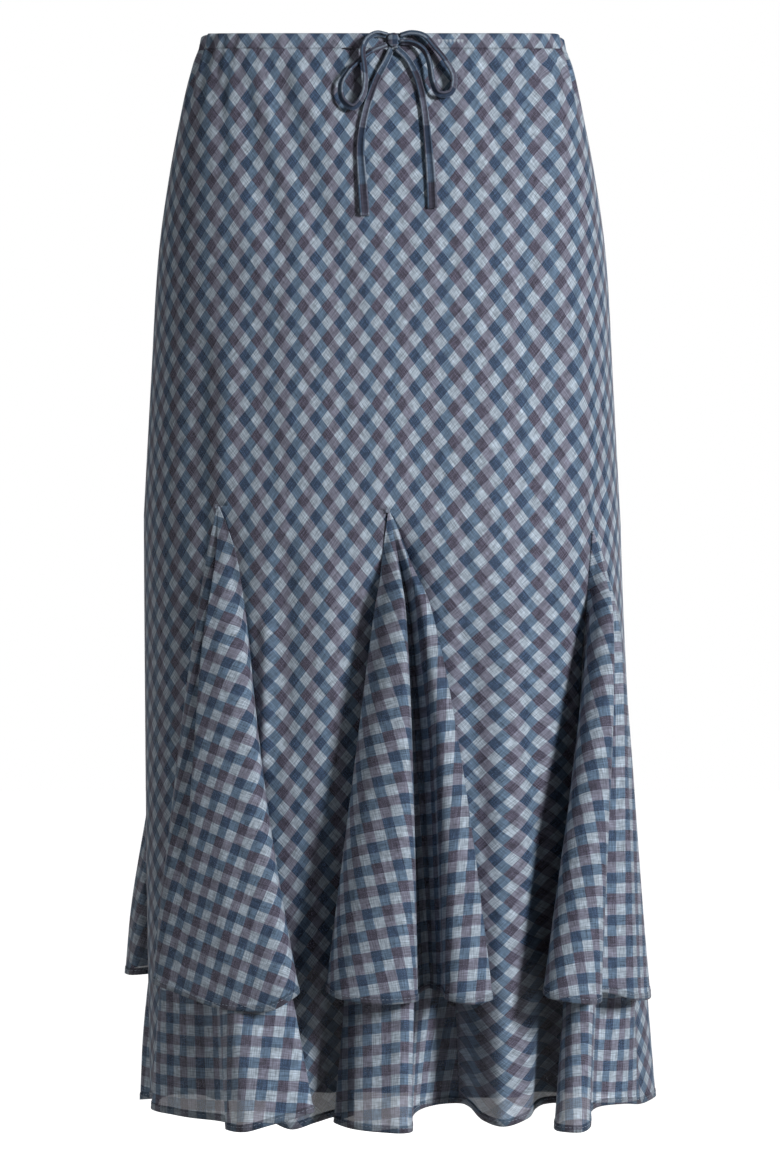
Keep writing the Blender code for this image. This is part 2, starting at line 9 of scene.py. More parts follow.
import bmesh
import bpy
import numpy as np
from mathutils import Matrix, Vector


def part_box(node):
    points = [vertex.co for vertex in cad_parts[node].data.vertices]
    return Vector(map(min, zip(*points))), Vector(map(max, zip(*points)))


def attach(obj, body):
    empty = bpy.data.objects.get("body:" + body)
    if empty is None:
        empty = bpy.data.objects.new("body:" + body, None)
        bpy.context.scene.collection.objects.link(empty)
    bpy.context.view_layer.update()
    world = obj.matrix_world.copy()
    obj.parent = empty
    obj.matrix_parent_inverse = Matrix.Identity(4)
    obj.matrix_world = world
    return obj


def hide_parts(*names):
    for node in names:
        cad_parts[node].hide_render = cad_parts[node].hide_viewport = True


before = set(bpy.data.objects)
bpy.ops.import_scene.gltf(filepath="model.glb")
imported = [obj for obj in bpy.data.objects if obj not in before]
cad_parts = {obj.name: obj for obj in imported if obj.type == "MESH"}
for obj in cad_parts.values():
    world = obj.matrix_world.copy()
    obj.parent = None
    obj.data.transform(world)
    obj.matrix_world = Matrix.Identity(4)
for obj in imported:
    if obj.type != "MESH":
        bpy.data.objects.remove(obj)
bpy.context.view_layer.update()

MM = 0.001

# ---------------------------------------------------------------- sizes that follow the solids
CLOTH_WALL = 1.0 * MM
CASING_HEIGHT = 12.0 * MM
CASING_OUTSIDE = 0.7 * MM
CASING_INSIDE = 3.1 * MM
GATHER_DEPTH = 0.45 * MM
APEX_Z = -370.0 * MM
HEM_Z = -830.0 * MM
UPPER_HEM_Z = -737.0 * MM
LINING_HEM_Z = -719.0 * MM
LINING_INSET = 2.2 * MM
LINING_SLACK = 11.0 * MM
SLACK_FROM_Z = -200.0 * MM
LINING_WAVE = 18.0 * MM
TIER_LAP = 1.7 * MM
SIDE_SEAM = 0.25
MIDDLE_SPREAD = 1.4  # how late the middle of a tongue spreads on the way down
SWAY = 1.8  # how late a fold moves sideways, against how soon it moves out

Level = namedtuple("Level", "z half_width half_depth squareness")
BODY_LEVELS = (
    Level(0.000, 0.1435, 0.085, 3.0),
    Level(-0.017, 0.1505, 0.089, 2.9),
    Level(-0.045, 0.1582, 0.096, 2.7),
    Level(-0.090, 0.1680, 0.107, 2.5),
    Level(-0.160, 0.1780, 0.120, 2.3),
    Level(-0.260, 0.1840, 0.131, 2.2),
    Level(-0.370, 0.1900, 0.140, 2.1),
)
LINING_LEVELS = (
    Level(-0.370, 0.1800, 0.128, 2.1),
    Level(-0.500, 0.1720, 0.112, 2.1),
    Level(-0.719, 0.1600, 0.086, 2.1),
)

# place: share of the round from the centre front. grain_upper and grain_lower: how far, in degrees,
# each tier's check is turned from the godet's middle. level: how far the rows stay level.
# lift: how much higher the apex lies, in mm. start and end: its two seams. swell: how late its folds
# open. A seam spreads the sooner on the way down the higher soon is, apart from a late part
Seam = namedtuple("Seam", "soon late", defaults=(0.0,))
Godet = namedtuple("Godet", "name place grain_upper grain_lower level lift start end swell")
GODETS = (
    Godet("left", -0.1245, 22.0, 8.0, 0.0, 9.0, Seam(2.0), Seam(5.0), 0.8),
    Godet("centre", 0.005, -3.0, 0.0, 0.55, 5.0, Seam(2.0), Seam(4.0), 0.55),
    Godet("right", 0.1725, -9.0, -2.0, 0.3, -11.0, Seam(1.4), Seam(8.0, 0.25), 0.55),
    Godet("back_right", 0.352, 4.0, 0.0, 0.3, 4.0, Seam(1.5), Seam(1.4), 0.8),
    Godet("back", 0.524, -5.0, 3.0, 0.3, -3.0, Seam(1.4), Seam(1.6), 0.8),
    Godet("back_left", 0.697, 6.0, -4.0, 0.3, 0.0, Seam(1.4), Seam(1.4), 0.8),
)

# Fold lines of the hems: x, y and how much lower than the hem's height, in mm
LOWER_FOLDS = {
    "left": (
        (-176, -42, 0), (-179, -66, 1), (-165, -92, 2), (-146, -104, 3), (-126, -112, 4),
        (-116, -136, 3), (-117, -165, 3), (-102, -186, 2), (-84, -188, -3), (-65, -186, -8),
        (-51, -177, -12), (-62, -164, -8), (-85, -141, -2),
    ),
    "centre": (
        (-22, -107, 0), (-26, -121, 0), (-36, -138, 1), (-22, -160, 3), (0, -175, 4), (15, -180, 4),
        (23, -170, 4), (22, -138, 0), (29, -108, -4), (44, -92, -6),
    ),
    "right": (
        (138, -88, -6), (138, -108, 0), (132, -136, 6), (138, -159, 6), (150, -162, 6), (158, -146, 4),
        (160, -112, -2), (171, -86, -4), (190, -68, -3),
    ),
    "back_right": (
        (190, 58, 0), (206, 74, 0), (204, 100, 2), (182, 108, 0), (162, 106, -2), (158, 128, 0),
        (166, 152, 3), (146, 166, 3), (126, 150, 0),
    ),
    "back": (
        (30, 128, 0), (32, 152, 0), (20, 176, 3), (-2, 174, 3), (-8, 142, -2), (-24, 124, -4),
        (-40, 140, -2), (-46, 172, 3), (-70, 182, 3), (-86, 160, 0),
    ),
    "back_left": (
        (-138, 112, 0), (-149, 130, 0), (-165, 142, 2), (-180, 126, 1), (-172, 100, -2), (-180, 86, 0),
        (-194, 92, 3), (-198, 72, 2),
    ),
}
TONGUE_FOLDS = {
    "left": ((-86, -116, 3), (-69, -124, 9), (-51, -122, 4), (-36, -110, 1)),
    "centre": (
        (60, -86, -6), (68, -106, -6), (78, -138, 0), (93, -158, 2), (111, -142, -2), (118, -117, -6),
        (126, -98, -7),
    ),
    "right": ((203, -46, 0), (216, -18, -2), (215, 14, 0), (203, 40, 0)),
    "back_right": ((112, 124, 0), (94, 136, 2), (70, 152, 4), (48, 137, 2)),
    "back": ((-76, 134, 0), (-92, 128, 2), (-112, 136, 4), (-126, 124, 2)),
    "back_left": ((-180, 52, 0), (-186, 28, 2), (-183, 0, 2), (-177, -22, 0)),
}
UPPER_FOLDS = {
    "left": (
        (-174, -66, -4), (-176, -92, -7), (-173, -116, -8), (-151, -138, -2), (-126, -158, 5),
        (-104, -174, 6), (-84, -182, 5), (-67, -181, -4), (-62, -168, -8), (-69, -149, -7),
        (-80, -134, -5), (-89, -121, -3),
    ),
    "centre": (
        (-38, -133, -5), (-44, -152, -8), (-31, -182, -4), (0, -199, -2), (18, -200, -3),
        (26, -185, -3), (27, -150, -4), (36, -132, -7), (42, -160, -6), (46, -181, -4), (57, -190, -2),
        (71, -189, -1), (83, -180, -4), (75, -157, -5),
    ),
    "right": (
        (137, -110, -5), (128, -130, -6), (122, -154, -8), (127, -177, -4), (142, -186, -2),
        (159, -182, 0), (166, -168, -1), (165, -142, -3), (176, -122, -2), (196, -106, 5),
        (209, -72, 7), (208, -52, 3),
    ),
    "back_right": (
        (208, 66, 0), (216, 96, 3), (196, 122, 2), (174, 124, 0), (178, 154, 2), (154, 176, 3),
        (128, 160, 0),
    ),
    "back": (
        (44, 156, 0), (28, 194, 3), (0, 192, 2), (-13, 166, -2), (-24, 149, -3), (-34, 166, -2),
        (-50, 192, 2), (-80, 198, 3), (-92, 172, 0),
    ),
    "back_left": (
        (-152, 138, 0), (-170, 158, 2), (-188, 144, 2), (-186, 110, -1), (-202, 100, 0), (-208, 66, 2),
        (-201, 42, 1),
    ),
}

# The tie's routes: x, z and how far off the cloth, in mm
TIE_ROUTES = {
    "tie_loop_left": (
        (3.7, 3.6, 1.5), (-4, 4.6, 4.0), (-11, 0.5, 5.4), (-14.5, -8, 5.6), (-13.5, -20, 5.6),
        (-12.5, -32, 5.4), (-14.5, -45, 5.0), (-22, -54, 4.4), (-30, -48, 4.2), (-31.5, -36, 4.0),
        (-26, -25, 3.0), (-18, -17, 1.4), (-8, -8.5, 0.5), (3.8, -3.4, 1.0),
    ),
    "tie_loop_right": (
        (14.3, 3.6, 1.5), (23, 5.4, 3.5), (33, 3.0, 4.5), (41, -6, 5.0), (49, -16, 5.0), (56, -30, 4.5),
        (53, -42, 4.0), (44, -43, 4.0), (39, -33, 5.0), (37, -20, 5.5), (33, -9, 5.0), (25, -3.0, 3.5),
        (14.5, -1.6, 1.5),
    ),
    "tie_end_left": (
        (7.3, -6.8, 0.4), (4, -15, 0.3), (-4, -31, 0.3), (-11.5, -53, 0.3), (-16.2, -82, 0.3),
        (-14.8, -113, 0.3), (-13.0, -139, 0.3),
    ),
    "tie_end_right": (
        (11.5, -6.8, 0.4), (19, -14, 0.3), (27, -29, 0.3), (32.5, -52, 0.3), (35.5, -80, 0.3),
        (37.8, -108, 0.3), (39, -133, 0.3),
    ),
}
TIE_RADIUS = 2.0 * MM  # of the solids' tube, whose middle the tape follows

# ---------------------------------------------------------------- sizes of the dressing alone
BACK_DROP = 18.0 * MM
FLOOR_Z, FLOOR_RADIUS, FLOOR_SIDES = -1.35, 14.0, 64
SHELL = 0.45 * MM  # thickness of one layer of cloth
HEM_BAND = 5.5 * MM  # height of the turned hems
HEM_WALL = 1.3 * MM
LINING_CLEAR = 7.5 * MM  # the lining hangs clear of the small folds of the body
BODY_RIPPLE, GODET_RIPPLE, LINING_RIPPLE = 0.6 * MM, 0.7 * MM, 1.4 * MM
GATHER_HEIGHT = 1.4 * MM
GATHERS_END_Z = -0.085
RISE_AT = (-0.085, -0.065, -0.045, -0.036, -0.028, -0.018, 0.0)  # depths in y
RISE = (0.0, 2.9, 5.6, 5.6, 4.4, 2.4, 0.8)  # of the waist's edge there, in mm
LIFT_FROM_Z, LIFT_TO_Z = -0.12, -0.66  # between which the cloth is lifted with the apexes
RAISE_TO_Z = -0.12  # down to which the waist's rise is felt
SLIT_FROM_Z = -0.345  # from which the folds keep clear of the slits
HEM_ROWS = 4  # rows of a grid that make its turned hem
TIER_ROWS = {"upper": 80, "lower": 96}
TONGUE_ROWS = 96
WAIST_ROWS, BODY_ROWS, WAIST_ROWS_END_Z = 18, 68, -0.045
LINING_ROWS, LINING_LOW_ROWS, LINING_COLUMNS = 40, 50, 40
CASING_COLUMNS = 720
CREASE_GAIN = 1.7  # the tables' depths are made this much deeper
CREASE_LIMIT = 4.8 * MM  # where creases overlap they stay clear of the lining
CAMERA_DISTANCE = 3.0
FRAME_HEIGHT = 0.934  # of the skirt's plane, that fills the picture from there
SENSOR = 24.0
FRONT_HALF_WIDTH = 0.19
UPPER_SHARE = (APEX_Z - UPPER_HEM_Z) / (APEX_Z - HEM_Z)  # how far down the lower tier the upper one ends
TAPE_STEP = 1.5 * MM
TAPE_AROUND = 32
OPENS = {  # between which shares of the way down the folds of a tier open
    "upper": (0.0, 0.25), "lower": (0.30, 0.74), "centre_upper": (0.0, 0.16), "right_upper": (0.0, 0.16),
    "back_left_upper": (0.12, 0.72), "left_lower": (0.33, 0.84), "back_left_lower": (0.36, 0.95),
}
OVAL_STEPS = 720
CURVE_STEPS = 24
CLOTH_STEP = 4.0 * MM  # rough size of the faces

PATCH_PLACES = (0.0555, 0.0850)  # of the small patch on the casing
SLIT_PLACES = (-0.0395, -0.0275)  # of the slit through which the tie leaves the casing

BIAS_DX = 4.96 * MM  # half the width and height of the bias diamonds
BIAS_DY = 6.41 * MM
BIAS_ORIGIN = (-31.7 * MM, -365.0 * MM)  # x and z of the middle of a light diamond on the front
WIDTH_SHARES = (-0.9, -0.7, -0.3, 0.0, 0.3, 0.6, 0.9)  # across the front, from left to right
WIDTHS = (0.86, 0.91, 0.97, 1.01, 1.06, 1.10, 1.04)  # of the print's cells there
TAPE_CELL = (1.9 * MM, 23.0 * MM)  # of the check on the tie's tapes, squeezed across into lengthwise stripes: print, with painted highlights and shade along the folded tape
CELL = (7.6 * MM, 8.1 * MM)  # width and height of the upright check on the godets


# ---------------------------------------------------------------- plan shapes
def lerp(a, b, share):
    return a + (b - a) * share


def smooth_step(x, low, high):
    share = np.clip((x - low) / (high - low), 0.0, 1.0)
    return share * share * (3.0 - 2.0 * share)


def with_height(plan, z):
    return np.concatenate([plan, np.broadcast_to(z, len(plan))[:, None]], axis=1)


def lengths_along(points):
    """The length of a line from its start to each of its points."""
    return np.concatenate([[0.0], np.cumsum(np.linalg.norm(np.diff(points, axis=0), axis=1))])


def read_along(where, lengths, points):
    return np.stack([np.interp(where, lengths, column) for column in points.T], axis=-1)


def level_at(levels, z):
    """(half width, half depth, squareness) at height z, with no kink at a row."""
    if z >= levels[0].z:
        return levels[0][1:]
    if z <= levels[-1].z:
        return levels[-1][1:]
    i = next(i for i in range(len(levels) - 1) if levels[i + 1].z <= z)
    before, a, b = levels[max(i - 1, 0)], levels[i], levels[i + 1]
    after = levels[min(i + 2, len(levels) - 1)]
    share = (z - a.z) / (b.z - a.z)
    span = b.z - a.z
    h00 = 2 * share**3 - 3 * share**2 + 1
    h10 = share**3 - 2 * share**2 + share
    h11 = share**3 - share**2
    values = []
    for column in range(1, 4):
        slope_a = (b[column] - before[column]) / (b.z - before.z)
        slope_b = (after[column] - a[column]) / (after.z - a.z)
        base = h00 * a[column] + (1 - h00) * b[column]
        values.append(base + span * (h10 * slope_a + h11 * slope_b))
    return tuple(values)


def oval_line(level):
    half_width, half_depth, squareness = level
    angle = np.linspace(0.0, 2.0 * np.pi, OVAL_STEPS + 1)
    power = 2.0 / squareness
    across, out = np.sin(angle), -np.cos(angle)
    x = half_width * np.sign(across) * np.abs(across) ** power
    y = half_depth * np.sign(out) * np.abs(out) ** power
    points = np.stack([x, y], axis=1)
    return points, lengths_along(points)


def oval_points(levels, z, places, inset=0.0):
    """Points in plan at shares of the round, moved in by inset, and the whole round's length."""
    points, lengths = oval_line(level_at(levels, z))
    total = lengths[-1]
    step = total / OVAL_STEPS

    def read(length):
        return read_along(np.mod(length, total), lengths, points)

    middle = np.asarray(places) * total
    along = read(middle + step) - read(middle - step)
    along /= np.linalg.norm(along, axis=-1, keepdims=True)
    inward = np.stack([-along[:, 1], along[:, 0]], axis=-1)
    return read(middle) + inward * np.asarray(inset)[..., None], total


def blend(a, b, t, low, high):
    return a * ((high - t) / (high - low)) + b * ((t - low) / (high - low))


def curve_through(rows):
    """A centripetal Catmull-Rom curve through all rows but the first and last."""
    points = []
    for before, a, b, after in zip(rows, rows[1:], rows[2:], rows[3:]):
        knots = [0.0]
        for p, q in ((before, a), (a, b), (b, after)):
            knots.append(knots[-1] + max(float(np.linalg.norm(q - p)), 1e-6) ** 0.5)
        t0, t1, t2, t3 = knots
        t = np.linspace(t1, t2, CURVE_STEPS, endpoint=False)[:, None]
        a1, a2, a3 = blend(before, a, t, t0, t1), blend(a, b, t, t1, t2), blend(b, after, t, t2, t3)
        points.append(blend(blend(a1, a2, t, t0, t2), blend(a2, a3, t, t1, t3), t, t1, t2))
    points.append(rows[-2][None, :])
    return np.concatenate(points)


class Line:
    """A line in plan, with the hem's drop as its third value, read by share of length."""

    def __init__(self, points):
        self.points = points
        self.lengths = lengths_along(points[:, :2])
        self.length = float(self.lengths[-1])

    def at(self, shares):
        return read_along(np.asarray(shares) * self.length, self.lengths, self.points)

    def outward(self, share):
        along = (self.at(min(share + 0.02, 1.0)) - self.at(max(share - 0.02, 0.0)))[:2]
        along /= np.linalg.norm(along)
        return np.array([along[1], -along[0]])


def fold_rows(table):
    return [np.array(fold, float) * MM for fold in table]


def hem_lines():
    rows, starts = [], []
    for godet in GODETS:
        for kind, table in (("godet", LOWER_FOLDS), ("tongue", TONGUE_FOLDS)):
            starts.append((kind, godet.name, len(rows)))
            rows.extend(fold_rows(table[godet.name]))
    count = len(rows)
    lines = {}
    for order, (kind, name, start) in enumerate(starts):
        end = starts[order + 1][2] if order + 1 < len(starts) else count
        lines[kind, name] = Line(curve_through([rows[i % count] for i in range(start - 1, end + 2)]))
    return lines


HEM = hem_lines()


def next_godet(godet):
    return GODETS[(GODETS.index(godet) + 1) % len(GODETS)]


def previous_godet(godet):
    return GODETS[GODETS.index(godet) - 1]


def tongue_places(godet, shares):
    after = next_godet(godet)
    end = after.place if after.place > godet.place else after.place + 1.0
    return lerp(godet.place, end, np.asarray(shares))


def back_drop(plan, down):
    """How much lower the cloth hangs at the back than at the front."""
    return BACK_DROP * smooth_step(plan[:, 1], 0.0, 0.1) * down**2


def lifted(places, z):
    """How much higher the cloth lies than the solids', by the apex of the nearest godets."""
    at = [godet.place for godet in GODETS]
    lifts = [godet.lift * MM for godet in GODETS]
    near = np.interp(np.mod(places - at[0], 1.0), np.array(at + [at[0] + 1.0]) - at[0], lifts + lifts[:1])
    return near * smooth_step(z, LIFT_TO_Z, APEX_Z) * smooth_step(-z, -LIFT_FROM_Z, -APEX_Z)


def spread_share(down, seam):
    """How far a seam has spread at a share of the way down: 0 at the apex, 1 at the hem."""
    return lerp(seam.soon * down / (1.0 + (seam.soon - 1.0) * down), down**3, seam.late)


def tongue_points(godet, shares, down):
    """Points of the tongue that follows a godet, at one share of the way to the hem."""
    shares = np.atleast_1d(shares)
    top = oval_points(BODY_LEVELS, APEX_Z, tongue_places(godet, shares))[0]
    hem = HEM["tongue", godet.name].at(shares)
    at_edge = np.abs(2.0 * shares - 1.0) ** 3
    edge = np.where(shares < 0.5, spread_share(down, godet.end), spread_share(down, next_godet(godet).start))
    plan = lerp(top, hem[:, :2], lerp(down**MIDDLE_SPREAD, edge, at_edge)[:, None])
    z = lerp(APEX_Z, HEM_Z - hem[:, 2], down) - back_drop(plan, down)
    return with_height(plan, z + lifted(tongue_places(godet, shares), z))


def seam_points(godet, down):
    first = tongue_points(previous_godet(godet), 1.0, down)[0]
    return first, tongue_points(godet, 0.0, down)[0]


def folded(flat, fold, chord, reach):
    """Flat points in plan moved by their fold, of which reach is open: out first, then sideways."""
    along = chord / np.linalg.norm(chord)
    sideways = (fold @ along)[:, None] * along
    return flat + (fold - sideways) * reach + sideways * reach**SWAY


def opened(z, godet, tier):
    opens = OPENS.get(f"{godet.name}_{tier}", OPENS[tier])
    return smooth_step((APEX_Z - z) / (APEX_Z - HEM_Z), *opens)


def lower_points(godet, shares, down):
    start, end = seam_points(godet, down)
    line = HEM["godet", godet.name]
    hem = line.at(shares)
    fold = hem - lerp(hem[0], hem[-1], shares[:, None])
    flat = lerp(start, end, shares[:, None])
    reach = down**godet.swell * opened(flat[:, 2:3], godet, "lower")
    plan = folded(flat[:, :2], fold[:, :2], (end - start)[:2], reach)
    return with_height(plan, flat[:, 2] - fold[:, 2] * down)


def upper_line(godet):
    seams = []
    for seam, tongue, side in zip(seam_points(godet, UPPER_SHARE), (previous_godet(godet), godet), (1, 0)):
        out = HEM["godet", godet.name].outward(1.0 - side) + HEM["tongue", tongue.name].outward(side)
        plan = seam[:2] + TIER_LAP * out / np.linalg.norm(out)
        seams.append(np.array([plan[0], plan[1], 0.0]))
    rows = [seams[0], *fold_rows(UPPER_FOLDS[godet.name]), seams[1]]
    rows = [rows[0] * 2 - rows[1], *rows, rows[-1] * 2 - rows[-2]]
    return Line(curve_through(rows))


UPPER_HEM = {godet.name: upper_line(godet) for godet in GODETS}


def upper_points(godet, shares, down):
    hem = UPPER_HEM[godet.name].at(shares)
    ends = lerp(hem[0], hem[-1], shares[:, None])
    apex = oval_points(BODY_LEVELS, APEX_Z, [godet.place], -TIER_LAP)[0]
    start = lerp(apex, hem[:1, :2], spread_share(down, godet.start))
    end = lerp(apex, hem[-1:, :2], spread_share(down, godet.end))
    flat = lerp(start, end, shares[:, None])
    level = lerp(APEX_Z, UPPER_HEM_Z, down)
    reach = down**godet.swell * opened(level, godet, "upper")
    plan = folded(flat, (hem - ends)[:, :2], (hem[-1] - hem[0])[:2], reach)
    z = level - hem[:, 2] * down
    return with_height(plan, z + lifted(godet.place, z))


# ---------------------------------------------------------------- small folds
# Troughs (depth below 0) and ridges of the body: from x, z to x, z, width and depth, in mm
FRONT_CREASES = (
    (-88, -8, -72, -70, 8, -3.2), (-72, -70, -48, -145, 11, -3.0), (-48, -145, -30, -200, 13, -1.6),
    (-106, -60, -78, -170, 11, -2.2), (-70, -8, -52, -60, 5, 1.2), (-112, -10, -98, -80, 6, -1.6),
    (-98, -80, -80, -150, 10, -1.2), (-128, -14, -124, -90, 6, -1.4), (-40, -8, -30, -50, 5, -1.3),
    (-22, -10, -16, -46, 4, 0.8), (44, -10, 40, -60, 6, -1.4), (62, -10, 66, -70, 7, 1.0),
    (84, -10, 92, -90, 7, -1.5), (108, -12, 120, -110, 8, -1.3), (128, -12, 142, -80, 5, 1.3),
    (-92, -210, -88, -330, 16, -1.4), (-140, -240, -146, -360, 10, -1.6),
    (-118, -260, -122, -350, 8, 1.2), (40, -230, 34, -340, 18, -1.2), (86, -300, 84, -420, 16, 1.5),
    (120, -200, 134, -330, 16, -1.4), (152, -230, 160, -350, 9, 1.2), (-131, -352, -131, -372, 7, -2.0),
    (7, -352, 7, -372, 7, -2.0), (168, -352, 168, -372, 7, -2.0), (-87, -455, -89, -560, 4, 2.6),
    (-75, -400, -74, -540, 8, -1.8), (-40, -420, -46, -600, 12, 1.6), (66, -470, 76, -620, 8, -2.0),
    (96, -430, 104, -640, 12, 1.8), (118, -520, 124, -700, 9, -1.6),
)
BACK_CREASES = (
    (92, -8, 70, -90, 8, -1.8), (60, -8, 44, -70, 6, -1.4), (20, -8, 16, -60, 5, 1.1),
    (-18, -8, -26, -75, 6, -1.5), (-56, -8, -70, -90, 7, 1.2), (-96, -10, -112, -110, 8, -1.6),
    (120, -12, 132, -90, 6, 1.2), (-10, -200, -22, -350, 18, -1.5), (80, -220, 96, -350, 16, 1.4),
    (-90, -230, -84, -360, 14, -1.4), (145, -352, 145, -372, 7, -2.0), (-25, -352, -25, -372, 7, -2.0),
    (60, -430, 70, -640, 11, -1.8), (92, -440, 86, -680, 12, 1.6), (-80, -430, -88, -660, 12, 1.7),
    (-104, -470, -112, -700, 10, -1.6),
)

# Soft pleats of the godets: share across, its widths to the left and right as shares, depth in mm,
# start down the tier, how soon it is whole, and where it ends
Pleat = namedtuple("Pleat", "share left right depth start grows ends", defaults=(2.0,))
UPPER_PLEATS = {
    "left": (Pleat(0.34, 0.15, 0.014, -9.0, 0.0, 0.2, 0.85), Pleat(0.62, 0.05, 0.05, -1.6, 0.3, 0.4)),
    "centre": (
        Pleat(0.13, 0.05, 0.05, -2.0, 0.2, 0.4), Pleat(0.60, 0.03, 0.09, -4.0, 0.22, 0.3),
        Pleat(0.84, 0.03, 0.04, -1.6, 0.3, 0.4),
    ),
    "right": (
        Pleat(0.22, 0.04, 0.04, -1.5, 0.2, 0.4), Pleat(0.60, 0.02, 0.10, -5.0, 0.0, 0.25),
        Pleat(0.82, 0.05, 0.05, -2.0, 0.2, 0.4),
    ),
    "back_right": (Pleat(0.25, 0.06, 0.04, -3.0, 0.0, 0.3), Pleat(0.70, 0.05, 0.05, 2.2, 0.2, 0.4)),
    "back": (Pleat(0.18, 0.06, 0.04, -3.0, 0.0, 0.3), Pleat(0.78, 0.03, 0.08, -3.2, 0.1, 0.4)),
    "back_left": (Pleat(0.30, 0.06, 0.04, -3.0, 0.0, 0.3), Pleat(0.76, 0.05, 0.05, 2.0, 0.2, 0.4)),
}
LOWER_PLEATS = {
    "left": (Pleat(0.18, 0.04, 0.04, -3.0, 0.5, 0.35), Pleat(0.68, 0.04, 0.04, -1.5, 0.6, 0.3)),
    "centre": (Pleat(0.28, 0.05, 0.05, 1.2, 0.6, 0.3), Pleat(0.42, 0.05, 0.05, -1.6, 0.6, 0.3)),
    "right": (Pleat(0.36, 0.05, 0.05, -1.4, 0.6, 0.3), Pleat(0.80, 0.05, 0.05, 1.8, 0.6, 0.3)),
    "back_right": (Pleat(0.50, 0.06, 0.06, 2.0, 0.5, 0.35),),
    "back": (Pleat(0.30, 0.05, 0.05, -2.0, 0.5, 0.35), Pleat(0.72, 0.05, 0.05, 2.0, 0.5, 0.35)),
    "back_left": (Pleat(0.35, 0.06, 0.06, -2.0, 0.5, 0.35),),
}


def ripple(x, z, seed):
    """A soft uneven wave of about -1 to 1, long down the cloth and short across it."""
    waves = 0.0
    for order, (across, down, weight) in enumerate(((31.0, 4.1, 0.5), (57.0, 7.3, 0.3), (93.0, 3.0, 0.2))):
        phase = seed * (2.3 + order)
        waves = waves + weight * np.sin(across * x + phase + 1.7 * np.sin(down * z + phase))
    return waves


def crease_relief(x, z, creases):
    relief = np.zeros_like(x)
    for x0, z0, x1, z1, width, depth in creases:
        a, along = np.array([x0, z0]) * MM, np.array([x1 - x0, z1 - z0]) * MM
        share = np.clip(((x - a[0]) * along[0] + (z - a[1]) * along[1]) / (along @ along), 0.0, 1.0)
        dx, dz = x - a[0] - share * along[0], z - a[1] - share * along[1]
        relief += CREASE_GAIN * depth * MM * np.exp(-(dx * dx + dz * dz) / (width * MM) ** 2)
    relief = CREASE_LIMIT * np.tanh(relief / CREASE_LIMIT)
    return relief * smooth_step(-z, CASING_HEIGHT / 2, 0.030)


def waist_rise(y):
    """How much higher the waist's edge lies towards its corners than at the centre front."""
    return MM * np.interp(y, RISE_AT, RISE)


def raised(grid):
    """A grid of rows with what is near the waist moved up by its rise."""
    grid = grid.copy()
    grid[..., 2] += waist_rise(grid[..., 1]) * smooth_step(grid[..., 2], RAISE_TO_Z, -CASING_HEIGHT / 2)
    return grid


def gathers(place, z):
    """Small pleats under the casing: strongest at the two sides, and gone 85 mm down."""
    at_ends = 0.30 + 0.70 * smooth_step(np.abs(np.abs(np.mod(place + 0.5, 1.0) - 0.5) - 0.25), 0.13, 0.03)
    waves = np.sin(2 * np.pi * (61.0 * place + 0.35 * np.sin(2 * np.pi * 7.0 * place)))
    waves = waves + 0.6 * np.sin(2 * np.pi * (37.0 * place + 0.2 * np.sin(2 * np.pi * 5.0 * place)) + 1.0)
    return GATHER_HEIGHT * waves * at_ends * smooth_step(-z, -GATHERS_END_Z, CASING_HEIGHT / 2)


def outward_of(grid):
    """Unit vectors in plan, out of the skirt, at each point of a grid of rows."""
    along = np.gradient(grid[..., :2], axis=1)
    along /= np.maximum(np.linalg.norm(along, axis=-1, keepdims=True), 1e-9)
    return np.stack([along[..., 1], -along[..., 0]], axis=-1)


def moved_out(grid, relief):
    grid = grid.copy()
    grid[..., :2] += outward_of(grid) * relief[..., None]
    return grid


# ---------------------------------------------------------------- meshes
def new_object(name, data):
    obj = bpy.data.objects.new(name, data)
    bpy.context.scene.collection.objects.link(obj)
    return obj


def new_piece(name, mesh, node=None, materials=()):
    obj = new_object(name, mesh)
    for material in materials:
        mesh.materials.append(material)
    if node:
        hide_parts(node)
    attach(obj, "root")
    return obj


def grid_mesh(name, grids):
    """One mesh from grids: (points, coordinates in the check) of shape rows by columns."""
    points, cells, faces = [], [], []
    start = 0
    for grid, check in grids:
        rows, columns = grid.shape[:2]
        index = start + np.arange(rows * columns).reshape(rows, columns)
        quads = np.stack([index[:-1, :-1], index[1:, :-1], index[1:, 1:], index[:-1, 1:]], axis=-1)
        points.append(grid.reshape(-1, 3))
        cells.append(check.reshape(-1, 2))
        faces.append(quads.reshape(-1, 4))
        start += rows * columns
    points, cells, faces = (np.concatenate(part) for part in (points, cells, faces))
    mesh = bpy.data.meshes.new(name)
    mesh.from_pydata(points.tolist(), [], faces.tolist())
    layer = mesh.uv_layers.new(name="check")
    corner_cells = cells[faces.reshape(-1)]
    layer.data.foreach_set("uv", corner_cells.astype(np.float32).reshape(-1))
    bm = bmesh.new()
    bm.from_mesh(mesh)
    bmesh.ops.remove_doubles(bm, verts=bm.verts, dist=0.01 * MM)
    bm.to_mesh(mesh)
    bm.free()
    mesh.shade_smooth()
    return mesh


def thicken(obj, thickness):
    wall = obj.modifiers.new("Wall", "SOLIDIFY")
    wall.thickness = thickness
    wall.offset = 0.0


def hem_piece(name, hems, material):
    band = new_piece(name, grid_mesh(name, hems), materials=[material])
    thicken(band, HEM_WALL)
    return band


def bias_cells(across, down):
    """Check coordinates of bias-cut cloth, from lengths across and down the cloth."""
    x, y = (across - BIAS_ORIGIN[0]) / BIAS_DX, down / BIAS_DY
    return np.stack([(x + y + 1.0) / 2.0, (x - y + 1.0) / 2.0], axis=-1)


